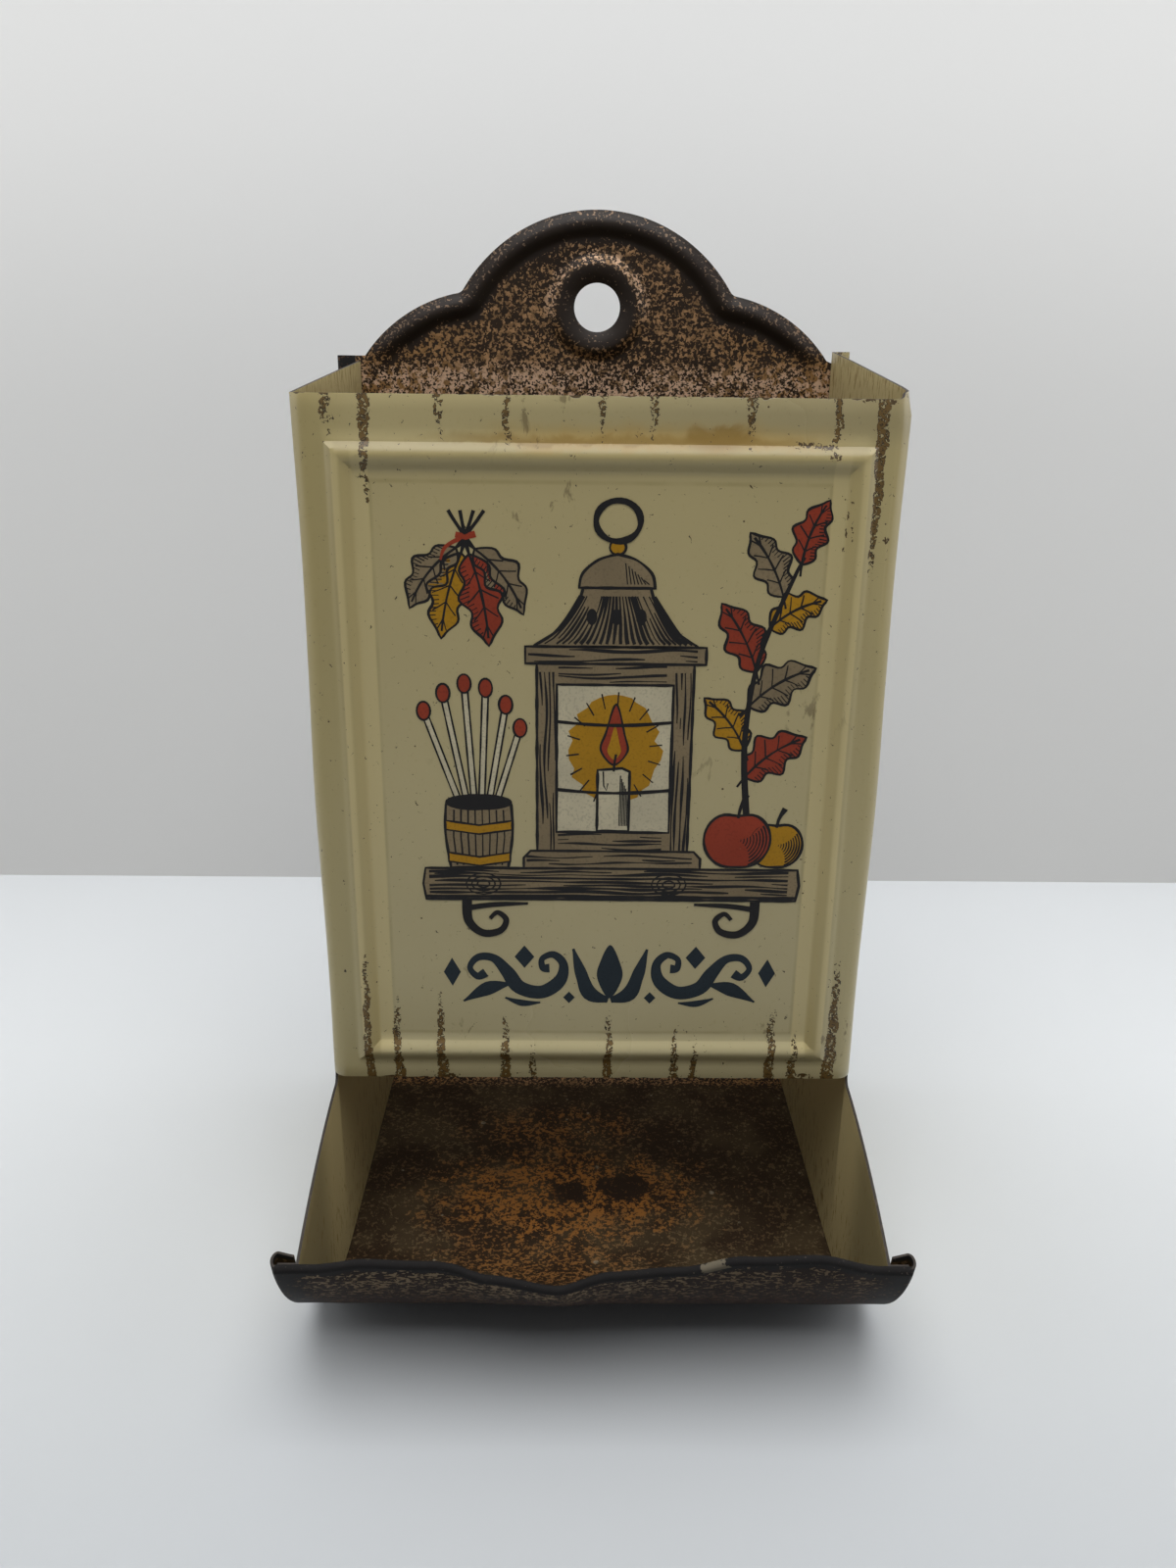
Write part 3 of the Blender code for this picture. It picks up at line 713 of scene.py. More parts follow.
def dense(points, step=0.9):
    """The closed outline with points at most a step apart."""
    made = []
    for (x, z), (to_x, to_z) in zip(points, points[1:] + points[:1]):
        parts = max(1, math.ceil(math.hypot(to_x - x, to_z - z) / step))
        made += [(x + (to_x - x) * i / parts, z + (to_z - z) * i / parts) for i in range(parts)]
    return made


def oval(x, z, across, up, steps=28):
    turns = [2 * math.pi * i / steps for i in range(steps)]
    return [(x + across * math.cos(turn), z + up * math.sin(turn)) for turn in turns]


def board(left, low, right, high):
    return [(left, low), (right, low), (right, high), (left, high)]


def mirrored(points):
    return [(-x, z) for x, z in points][::-1]


def moved(points, x, z):
    return [(x + across, z + up) for across, up in points]


def wood_grain(drawing, place, run, rows, width, seed, gaps=-0.30):
    """Broken lines of grain. place turns shares along and across the wood into a point."""
    steps = max(4, round(run / 0.8))
    for row in range(rows):
        across = (row + 0.5) / rows
        marks = []
        for i in range(steps + 1):
            share = i / steps
            sway = noise.noise(Vector((share * run * 0.10, across * 2.2, seed)))
            press = noise.noise(Vector((share * run * 0.16, across * 11, seed + 4.5)))
            if press > gaps and i < steps:
                x, z = place(share, across + sway * 0.9 / rows)
                marks.append((x, z, width / 2 * (0.4 + 1.5 * (press - gaps))))
            elif marks:
                if len(marks) > 2:
                    drawing.mark("ink", marks)
                marks = []


def leaf(drawing, tone, base, tip, width, bend=0.8, lobes=3):
    """A lobed leaf from its base to its tip, with its ribs and a shaded half."""
    base, tip = Vector(base), Vector(tip)
    along = tip - base
    aside = Vector((-along.y, along.x)).normalized()

    def place(share, off):
        spot = base + along * share + aside * (bend * 4 * share * (1 - share) + off)
        return spot.x, spot.y

    def half(share):
        wave = 1 + 0.24 * math.sin(2 * math.pi * lobes * share - 0.6)
        return width / 2 * math.sin(math.pi * share**0.85) ** 0.75 * wave

    rows = [i / 26 for i in range(1, 26)]
    outline = [place(0, 0), *[place(share, half(share)) for share in rows]]
    outline += [place(1, 0), *[place(share, -half(share)) for share in rows[::-1]]]
    drawing.shape(tone, outline, pen=0.36)
    drawing.line([place(i / 12, 0) for i in range(-2, 12)], 0.34)
    for i in range(1, 5):
        share = i / 5.2
        for hand in (-1, 1):
            reach = half(min(share + 0.13, 0.97)) * 0.8 * hand
            rib = ((0, 0), (0.07, reach * 0.5), (0.13, reach))
            drawing.line([place(share + onwards, off) for onwards, off in rib], 0.20)
    for i in range(3, 20):
        share = i / 22
        drawing.line([place(share, -half(share) * 0.92), place(share - 0.02, -half(share) * 0.52)], 0.15)


def lantern(drawing):
    """A candle lantern of wood and glass that stands on the shelf."""
    drawing.level = 2
    drawing.shape("pale", board(-8.6, 5, 8.6, 28.6), pen=0)
    candle(drawing)
    drawing.level = 5
    opening = board(-8.2, 5.8, 8.2, 28)
    drawing.shape("wood", board(-11, 2.6, 11, 31), opening[::-1])
    for x in (-9.6, 9.6):
        wood_grain(drawing, lambda a, b: (x - 1.2 + 2.4 * b, 3 + 27.6 * a), 27, 4, 0.3, x)
    for low, high, seed in ((2.8, 5.6, 3.0), (28.2, 30.8, 7.0)):
        wood_grain(drawing, lambda a, b: (-8 + 16 * a, low + (high - low) * b), 16, 4, 0.3, seed)
    for height in (12.4, 22.6):
        shares = [i / 12 for i in range(13)]
        drawing.line([(-8.2 + 16.4 * a, height - 0.5 * math.sin(math.pi * a)) for a in shares], 0.5)
    drawing.level = 6
    plinth = [(13, 0), (13, 1.7), (12, 2.8)]
    drawing.shape("wood", plinth + mirrored(plinth))
    wood_grain(drawing, lambda a, b: (-12.6 + 25.2 * a, 0.3 + 2.1 * b), 25, 3, 0.32, 11.0)
    drawing.shape("wood", board(-12.6, 31, 12.6, 33.4))
    wood_grain(drawing, lambda a, b: (-12.2 + 24.4 * a, 31.2 + 2 * b), 24, 3, 0.32, 15.0)
    side = run_through([(11.6, 33.4), (8.2, 35.6), (5.8, 38.4), (4.6, 41.6)])
    drawing.shape("wood", side + mirrored(side))
    wood_grain(drawing, lambda a, b: ((2 * b - 1) * (11.2 - 6.4 * a**0.7), 33.8 + 7.4 * a), 8, 26, 0.36, 19.0)
    drawing.level = 7
    for x in (-3.4, 0, 3.4):
        drawing.shape("ink", oval(x, 37.6, 0.75, 1.15, 14), pen=0)
    drawing.level = 6
    dome = run_through([(5.2, 41.6), (4.7, 43.6), (2.6, 45.4), (0, 46.2)])
    drawing.shape("wood", dome + mirrored(dome[:-1]))
    for i in range(7):
        drawing.line([(1.4 + 0.5 * i, 42.1), (1.1 + 0.42 * i, 45.0 - 0.38 * i)], 0.18)
    drawing.shape("mustard", oval(0, 47.1, 1.1, 1.0, 16), pen=0.34)
    drawing.line(oval(0, 50.6, 3.0, 2.7, 30), 0.85, closed=True)


def candle(drawing):
    """The lit candle behind the lantern's glass, with its glow and rays."""
    drawing.level = 3
    middle = 18.4
    glow = [(x * (1 + 0.10 * math.cos(9 * i)), z) for i, (x, z) in enumerate(oval(0, 0, 6.4, 8.2, 36))]
    drawing.shape("mustard", moved(glow, 0, middle), pen=0)
    for i in range(18):
        turn = 2 * math.pi * i / 18 + 0.1
        rays = [(0.8 * math.cos(turn) * reach, middle + math.sin(turn) * reach) for reach in (6.3, 7.4, 8.6)]
        if abs(rays[-1][0]) < 7.6 and rays[-1][1] > 9:
            drawing.line(rays, 0.22)
    drawing.level = 4
    drawing.shape("pale", [(-2.3, 6), (2.3, 6), (2.3, 15.2), (1.2, 15.7), (-2.3, 15.4)])
    for i in range(6):
        drawing.line([(0.9 + 0.22 * i, 6.8), (1.0 + 0.2 * i, 14.6 - 0.5 * i)], 0.17)
    drawing.line([(-1.5, 15.2), (-1.4, 13.0), (-1.0, 12.3), (-0.8, 13.4)], 0.24)
    flame = [(0, 16.2), (1.9, 18.2), (1.5, 20.6), (0.2, 25.2), (-1.2, 21.0), (-1.9, 18.4)]
    drawing.shape("red", run_through(flame, closed=True), pen=0.3)
    drawing.level = 5
    inner = [(x * 0.5, 17.0 + (z - 16.2) * 0.55) for x, z in flame]
    drawing.shape("mustard", run_through(inner, closed=True), pen=0)
    drawing.line([(0, 15.2), (0.1, 16.6), (0.3, 17.8)], 0.36, lift=0.8)


def cup_of_sticks(drawing, middle=-19.5):
    """A hooped wooden cup with long red-tipped sticks."""
    tips = ((-27, 24), (-24.2, 26.6), (-21.2, 28), (-18.2, 27.4), (-15.4, 25), (-13.4, 21.6))
    for i, (reach, height) in enumerate(tips):
        low, tip = Vector((-21.8 + 0.9 * i, 9)), Vector((reach, height))
        aside = Vector((low.y - tip.y, tip.x - low.x)).normalized() * 0.42
        drawing.level = 2
        corners = (low - aside, tip - aside, tip + aside, low + aside)
        drawing.shape("pale", [tuple(corner) for corner in corners], pen=0.26)
        drawing.level = 3
        drawing.shape("red", oval(tip.x, tip.y, 0.95, 1.35, 18), pen=0.3)
    drawing.level = 4
    drawing.shape("ink", oval(middle, 10.4, 4.7, 1.1), pen=0.3)
    wall = run_through([(4.7, 10.4), (4.9, 5.6), (4.2, 0.1)])
    turns = [math.pi * i / 10 for i in range(1, 10)]
    front = [(4.7 * math.cos(turn), 10.4 - 1.1 * math.sin(turn)) for turn in turns]
    drawing.shape("wood", moved([*wall, *mirrored(wall), *front[::-1]], middle, 0))
    for i in range(1, 9):
        x = -4.6 + 9.2 * i / 9
        drawing.line(moved([(x, 9.2), (x * 1.04, 5), (x * 0.92, 0.5)], middle, 0), 0.24)
    drawing.level = 5
    for height in (2.0, 7.0):
        wide = 4.4 + height * 0.06
        hoop = [(wide, 0.5), (0, -0.2), (-wide, 0.5), (-wide, -0.9), (0, -1.6), (wide, -0.9)]
        drawing.shape("mustard", moved(hoop, middle, height), pen=0.3)


def fruit(drawing, tone, x, z, radius, level):
    """A round fruit with its stalk, a leaf and curved shading."""
    drawing.level = level
    outline = []
    for i in range(40):
        turn = 2 * math.pi * i / 40
        dimple = 0.20 * math.exp(-(((turn - math.pi / 2) / 0.45) ** 2))
        dimple += 0.08 * math.exp(-(((turn - 1.5 * math.pi) / 0.4) ** 2))
        away = radius * (1 - dimple)
        outline.append((x + away * 1.04 * math.cos(turn), z + away * math.sin(turn)))
    drawing.shape(tone, outline)
    for i in range(9):
        reach = radius * (0.92 - 0.10 * i)
        turns = [-1.15 + 0.08 * i + 0.13 * k for k in range(14 - i)]
        shading = [(x + reach * math.cos(turn), z + reach * math.sin(turn)) for turn in turns]
        drawing.line(shading, 0.26 - 0.018 * i)
    stalk = ((0, radius * 0.72), (0.3, radius * 1.1), (1.1, radius * 1.5))
    drawing.stroke(moved(stalk, x, z), (0.4, 0.5, 0.9))


def sprays(drawing):
    """Autumn leaves: a stem that rises at the right and a bunch that hangs at the upper left."""
    drawing.level = 0
    drawing.stroke([(19.5, 8), (18.6, 20), (20.0, 32), (24, 43), (25.4, 46)], (1.0, 0.7, 0.4))
    for tone, base, tip, width, bend in (
        ("red", (18.9, 14.5), (27.4, 20.5), 5.6, 0.8),
        ("mustard", (18.6, 18.6), (12.6, 26.2), 4.6, -0.7),
        ("wood", (18.9, 25.0), (28.0, 30.6), 5.4, 0.8),
        ("red", (19.7, 30.0), (14.4, 39.6), 5.0, -0.6),
        ("mustard", (21.2, 36.2), (28.8, 40.2), 4.6, 0.7),
        ("wood", (22.8, 40.6), (17.8, 49.2), 4.6, -0.6),
        ("red", (25.0, 45.0), (28.2, 53.6), 4.2, 0.6),
    ):
        leaf(drawing, tone, base, tip, width, bend)
    tie_x, tie_z = tie = (-20.6, 48.4)
    for tone, (tip_x, tip_z), width, bend in (
        ("wood", (-28.4, 38.6), 4.6, -0.9),
        ("wood", (-12.8, 37.8), 4.4, 0.9),
        ("mustard", (-24.2, 34.4), 5.0, -0.5),
        ("red", (-17.6, 33.4), 5.2, 0.5),
    ):
        start = (tie_x + (tip_x - tie_x) * 0.16, tie_z + (tip_z - tie_z) * 0.16)
        leaf(drawing, tone, start, (tip_x, tip_z), width, bend)
        drawing.level = 1 - drawing.level
        drawing.stroke([tie, start], (0.5, 0.4))
    drawing.level = 1
    for reach in (-2.2, -0.6, 1.2, 2.6):
        drawing.stroke(moved([(0, 0), (reach * 0.5, 1.6), (reach, 3.4)], *tie), (0.6, 0.45, 0.5))
    drawing.line(moved([(-1.3, 0.2), (0, -0.1), (1.4, 0.3)], *tie), 0.9, tone="red", lift=0.8)
    drawing.stroke(moved([(0, 0), (-2.6, -1.4), (-3.4, -3.2)], *tie), (0.7, 0.5, 0.3), tone="red")


def shelf(drawing):
    """The shelf board that it all stands on, with scrolled brackets under it."""
    drawing.level = 6
    hook = [(21.5, -5.2), (21.3, -8.6), (19.2, -10.6), (16.6, -10.2), (15.7, -8.4), (17, -7.2), (18.1, -8.2)]
    arm = [(21.0, -6.4), (17.4, -5.9), (12.4, -5.7)]
    for hand in (-1, 1):
        drawing.stroke([(hand * x, z) for x, z in hook], (1.5, 1.2, 0.9, 0.6))
        drawing.stroke([(hand * x, z) for x, z in arm], (0.9, 0.8, 0.4))
    end = [(27.5, -5), (27.9, -2.5), (27.5, 0)]
    drawing.shape("wood", end + mirrored(end))
    wood_grain(drawing, lambda a, b: (-27 + 54 * a, -4.8 + 4.6 * b), 54, 8, 0.34, 23.0)
    drawing.line([(-27.4 + 54.8 * i / 60, -4.55) for i in range(61)], 0.5)
    for x in (-19.0, 8.5):
        for reach in (0.6, 1.15, 1.7):
            drawing.line(oval(x, -2.5, reach * 1.5, reach, 16), 0.26, closed=True)


def still_life():
    """The whole picture: lantern, cup, fruit and leaves on their shelf."""
    drawing = Drawing(71.5)
    sprays(drawing)
    cup_of_sticks(drawing)
    fruit(drawing, "mustard", 24.0, 4.0, 3.8, 3)
    fruit(drawing, "red", 18.3, 4.8, 4.7, 4)
    lantern(drawing)
    shelf(drawing)
    return drawing


def ornament_band():
    """A dark row of scrolls, lozenges and leaves about a tulip."""
    drawing = Drawing(48.7)
    tulip = [(0, 1.2), (1.9, 4.6), (1.5, 7.4), (0, 10.3), (-1.5, 7.4), (-1.9, 4.6)]
    drawing.shape("slate", run_through(tulip, closed=True), pen=0)
    scroll = [(9.2, 6.3), (10.2, 6.4), (10.3, 7.9), (8.6, 8.6), (7.1, 7.0), (7.6, 4.2), (10.4, 2.2)]
    scroll += [(13.8, 3.0), (15.6, 5.6), (17.6, 7.9), (20.0, 8.1), (21.3, 6.4), (20.2, 4.9), (18.9, 5.5)]
    strokes = (
        ([(0.2, 0.9), (3.0, 2.0), (4.3, 5.2), (5.6, 9.6)], (1.0, 2.4, 1.9, 0.4)),
        (scroll, (1.5, 0.9, 1.3, 2.2, 2.3, 1.3, 0.9, 1.5)),
        ([(15.2, 3.6), (18.6, 2.8), (22.4, 0.6)], (0.5, 2.3, 0.3)),
        ([(10.6, 0.4), (13.4, 0.3), (16.0, 1.2)], (0.3, 1.1, 0.3)),
    )
    for hand in (-1, 1):
        for points, widths in strokes:
            drawing.stroke([(hand * x, z) for x, z in points], widths, "slate")
        for x, z, wide, tall in ((13.0, 8.2, 1.5, 1.9), (24.0, 5.6, 1.3, 2.4), (6.2, 1.3, 0.9, 1.0)):
            lozenge = [(x - wide, z), (x, z - tall), (x + wide, z), (x, z + tall)]
            drawing.shape("slate", [(hand * a, b) for a, b in lozenge], pen=0)
    return drawing


def drawn_mesh(bm, kind, splines):
    """Adds the splines to the mesh, as filled shapes or as round strokes. Curves are in millimetres."""
    curve = bpy.data.curves.new("drawn", "CURVE")
    curve.dimensions = "2D" if kind == "shape" else "3D"
    curve.fill_mode = "BOTH" if kind == "shape" else "FULL"
    curve.extrude = 0.5 if kind == "shape" else 0.0
    curve.bevel_depth = 0.0 if kind == "shape" else 1.0
    curve.bevel_resolution = 0
    curve.use_fill_caps = True
    for points, closed in splines:
        spline = curve.splines.new("POLY")
        spline.points.add(len(points) - 1)
        for point, (x, z, *radius) in zip(spline.points, points):
            point.co = (x, z, 0, 1)
            point.radius = radius[0] if radius else 1.0
        spline.use_cyclic_u = closed
    holder = bpy.data.objects.new("drawn", curve)
    mesh = bpy.data.meshes.new_from_object(holder)
    bm.from_mesh(mesh)
    bpy.data.objects.remove(holder)
    bpy.data.curves.remove(curve)
    bpy.data.meshes.remove(mesh)


def printed_piece(name, drawing, tone, material, size, at):
    """One colour of the drawing as thin flat shapes on the front panel."""
    bm = bmesh.new()
    for kind, parts in (("shape", drawing.shapes), ("line", drawing.lines)):
        for colour, level, points, *closed in parts:
            if colour != tone:
                continue
            known = set(bm.verts)
            splines = [(points, closed[0])] if closed else [(outline, True) for outline in points]
            drawn_mesh(bm, kind, splines)
            proud = size.print_layer * (level + 2)
            for vert in bm.verts:
                if vert in known:
                    continue
                across, up, off = vert.co
                if kind == "shape":
                    off = -proud if off > 0 else size.print_layer
                else:
                    off = -proud - off * size.print_swell
                vert.co = (size.print_shift + across * MM, at.front_y + off, up * MM)
    bmesh.ops.remove_doubles(bm, verts=bm.verts, dist=WELD * 0.1)
    across, up = grid_places(size, at)
    cut_across(bm, (1, 0, 0), across)
    cut_across(bm, (0, 0, 1), up)
    for vert in bm.verts:
        vert.co.y += dent(size, at, vert.co.x, vert.co.z)
    bmesh.ops.recalc_face_normals(bm, faces=bm.faces)
    mesh = bpy.data.meshes.new(name)
    bm.to_mesh(mesh)
    bm.free()
    mesh.shade_flat()
    mesh.materials.append(material)
    piece = bpy.data.objects.new(name, mesh)
    bpy.context.scene.collection.objects.link(piece)
    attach(piece, "root")


# Finishes

# Tints laid over the cream paint
# Darker towards the left edge, slightly darker and yellower towards the right, darker and bluer in the upper
# margin
LEFT_TINT = (0.86, 0.84, 0.74)
RIGHT_TINT = (0.96, 0.95, 0.90)
MARGIN_TINT = (0.80, 0.80, 0.84)
GRAIN_TINT = (0.90, 0.88, 0.82)
# Grime with painted shade, for the creases along the ridge's edges
DIRT_AND_SHADE_TINT = (0.72, 0.68, 0.58)
# Dust with painted shade, for the ridge's top flank that faces the lamp above
LEDGE_DUST_AND_SHADE_TINT = (0.83, 0.81, 0.74)
# Painted shade, for the crest of the ridge's upright runs between their lit flanks
CREST_SHADE_TINT = (0.80, 0.78, 0.72)
# Painted shade, for the front ends of the cheeks' inner faces
CHEEK_SHADE_TINT = (0.78, 0.78, 0.78)

# Where the paint changes, across, along or up: from where it hasn't to where it wholly has
LEFT_EDGE = (-0.030, -0.040)
RIGHT_EDGE = (0.030, 0.041)
DULL_MARGIN = (-0.030, 0.024)
CHEEK_HEIGHT = (0.050, 0.040)
# Painted light on the cheeks' inner faces near the panel, and painted shade on their front ends
LIT_CHEEK = (-0.027, -0.017)
DIM_CHEEK = (-0.017, -0.030)
# Painted light inside the box, growing from this height up to the panel's top
PAINTED_LIGHT_INSIDE_FROM = 0.10
STROKED_FOOT = (0.033, 0.004)

# Worn places of the print
WORN_INK = (0.33, 0.28, 0.17)

# Specks of the bronze, where they differ from the common ones
GOLDEN_SPECK = (0.33, 0.175, 0.060)
# Painted shade: darker specks on the rim and the ring
RIM_SHADE_SPECK = (0.150, 0.110, 0.085)
DULL_SPECK = (0.070, 0.045, 0.022)
TAN_SPECK = (0.105, 0.078, 0.042)
FRONT_SPECK = (0.150, 0.092, 0.050)
LIP_SPECK = (0.085, 0.070, 0.060)
# Painted light: brighter specks in the lit band high on the scoop's front
SCOOP_LIT_SPECK = (0.26, 0.190, 0.112)
REVERSE_SPECK = (0.090, 0.050, 0.027)

# Ground of the bronze, where it differs from the common one
PLATE_GROUND = (0.034, 0.022, 0.014)
# Painted shade: greyer ground on the rim and the ring
RIM_SHADE_GROUND = (0.024, 0.018, 0.015)
TRAY_GROUND = (0.024, 0.014, 0.007)
TRAY_CLOUD = (0.052, 0.035, 0.017)
SCOOP_GROUND = (0.018, 0.010, 0.007)

# Where the bronze changes, across, along or up
PLATE_SIDES = (0.014, 0.036)
FOOT_STARTS = (0.10, 0.125)
TRAY_FRONT = (-0.004, -0.026)
SCOOP_LEFT = (0.034, -0.010)

# Where the bronze changes up the scoop: turns from the floor, and then turns past the lip's
SCOOP_TURNS = (0.20, 0.60)
# Painted light: the lit band high on the scoop's front
LIT_BAND_TURNS = (-0.45, -0.05)
# Painted shadow: the dark band under the rolled lip, together with the plain lacquer there
ROLL_SHADOW_TURNS = (-0.075, -0.050)
LIP_TURNS = (-0.030, -0.012)

# Marks on the tray
STAIN_TONE = (0.018, 0.010, 0.006)
DROP_TONE = (0.25, 0.215, 0.15)
CHIP_TONE = (0.14, 0.12, 0.085)

# Nicks and loose specks in the paint: place across and up, half width and half height, in millimetres
NICKS = (
    (34.7, 137.9, 0.7, 0.35),
    (38.2, 137.8, 0.6, 0.30),
    (26.6, 132.1, 1.5, 0.30),
    (29.8, 131.8, 0.9, 0.26),
    (30.8, 130.6, 0.5, 0.35),
    (32.6, 125.2, 0.20, 0.14),
    (33.5, 124.8, 0.14, 0.22),
    (33.2, 123.6, 0.12, 0.16),
    (33.1, 122.9, 0.10, 0.24),
    (33.7, 121.2, 0.16, 0.30),
    (33.0, 120.8, 0.16, 0.42),
    (33.8, 119.8, 0.10, 0.34),
    (32.9, 118.6, 0.12, 0.20),
    (38.5, 119.9, 0.30, 0.34),
    (38.8, 118.4, 0.14, 0.16),
    (20.4, 126.8, 0.55, 0.22),
    (10.4, 138.0, 0.8, 0.25),
    (-22.8, 36.0, 1.4, 0.30),
    (33.6, 36.1, 0.9, 0.35),
)

# Brown streaks of the paint: place across, reach from the edge and half width, in millimetres
TOP_STREAKS = (
    (-36.0, 6.4, 0.9),
    (-31.2, 15.0, 0.9),
    (-21.3, 5.8, 0.83),
    (-12.5, 8.2, 0.64),
    (0.2, 6.6, 0.64),
    (6.8, 5.9, 0.83),
    (19.6, 7.0, 0.83),
    (30.9, 9.2, 0.76),
    (36.9, 25.0, 0.94),
)
FOOT_STREAKS = (
    (-34.8, 23.0, 0.8),
    (-30.3, 14.7, 0.96),
    (-23.6, 16.4, 0.96),
    (-13.5, 12.2, 0.96),
    (-9.3, 6.7, 0.73),
    (2.4, 13.2, 0.87),
    (12.8, 9.8, 0.87),
    (15.9, 8.6, 0.8),
    (27.7, 13.9, 0.96),
    (31.3, 9.6, 0.8),
    (37.2, 22.0, 1.1),
)
LONGEST_STREAK = 26.0
STREAK_FADE = 9 * MM

# Rust and dark stains in the tray: place across and along, half width and half length in millimetres, then
# the softness of the border and the strength
RUST_PATCHES = (
    (-4.5, 4.0, 21.5, 12.5, 0.50, 1.0),
    (-8.0, -13.0, 15.0, 12.0, 0.70, 0.6),
    (-6.0, 24.0, 15.0, 6.0, 0.60, 0.6),
)
TRAY_STAINS = (
    (-4.0, 4.6, 3.4, 3.0, 0.3, 1.0),
    (6.0, 6.4, 4.2, 3.4, 0.3, 1.0),
)

# The darkest smudge of rust on the ridge, its height counted from the ridge's top, in millimetres
RUST_SMUDGE = (15.0, 0.7, 3.6, 1.5)

# The chip in the lip's lacquer: place across and half width in millimetres, turn past the lip's and half turn
CHIP_PLACE, CHIP_HALF = 16.6, 1.7
CHIP_TURN, CHIP_HALF_TURN = 0.005, 0.026

# Half the range of grain over which a bronze speck fades into its ground
SPECK_FADE = 0.018


def shaded(tone, share):
    """The colour made darker or lighter."""
    return tuple(c * share for c in tone)


def millimetres(*values):
    return [value * MM for value in values]


class Nodes:
    """A node tree, built up node by node. Arguments may be sockets, numbers or colours."""

    def __init__(self, tree):
        self.tree = tree

    def node(self, kind, inputs, **settings):
        made = self.tree.nodes.new(kind)
        for name, value in settings.items():
            setattr(made, name, value)
        for key, value in inputs.items():
            self.feed(made.inputs[key], value)
        return made

    def feed(self, socket, value):
        if isinstance(value, bpy.types.NodeSocket):
            self.tree.links.new(value, socket)
        elif socket.type == "RGBA" and len(tuple(value)) == 3:
            socket.default_value = (*value, 1.0)
        else:
            socket.default_value = value

    def math(self, operation, a, b=0.0, c=0.0):
        return self.node("ShaderNodeMath", {0: a, 1: b, 2: c}, operation=operation).outputs[0]

    def plus(self, a, b):
        return self.math("ADD", a, b)

    def minus(self, a, b):
        return self.math("SUBTRACT", a, b)

    def times(self, a, b):
        return self.math("MULTIPLY", a, b)

    def absolute(self, a):
        return self.math("ABSOLUTE", a)

    def opposite(self, mask):
        return self.math("SUBTRACT", 1.0, mask)

    def added(self, base, *parts):
        """The base plus an amount of each mask, from pairs of a mask and its amount."""
        for mask, amount in parts:
            base = self.math("MULTIPLY_ADD", mask, amount, base)
        return base

    def blend(self, low, high, mask):
        """A number between low and high."""
        return self.math("MULTIPLY_ADD", mask, self.minus(high, low), low)

    def all_of(self, *masks):
        result = masks[0]
        for mask in masks[1:]:
            result = self.times(result, mask)
        return result

    def any_of(self, *masks):
        result = masks[0]
        for mask in masks[1:]:
            result = self.math("MAXIMUM", result, mask)
        return result

    def ease(self, value, start, end, low=0.0, high=1.0):
        """low where value is start, high where it is end, eased between."""
        inputs = {0: value, 1: start, 2: end, 3: low, 4: high}
        return self.node("ShaderNodeMapRange", inputs, interpolation_type="SMOOTHSTEP").outputs[0]

    def within(self, value, start, full, fade, end):
        """0 at start and end and 1 from full to fade, eased between, with the four in millimetres."""
        return self.times(self.ease(value, start * MM, full * MM), self.ease(value, end * MM, fade * MM))

    def mix(self, base, top, mask, strength=1.0, blend="MIX"):
        """The top colour over the base where the mask is, at a strength."""
        if strength != 1.0:
            mask = self.times(mask, strength)
        made = self.node("ShaderNodeMix", {0: mask, 6: base, 7: top}, data_type="RGBA", blend_type=blend)
        return made.outputs[2]

    def tinted(self, base, tint, mask):
        """The base multiplied by the tint where the mask is."""
        return self.mix(base, tint, mask, blend="MULTIPLY")

    def seen(self):
        """1 for the rays that see, reflect or pass through, 0 for the rays that light."""
        rays = self.node("ShaderNodeLightPath", {}).outputs
        return self.any_of(rays["Is Camera Ray"], rays["Is Glossy Ray"], rays["Is Transmission Ray"])


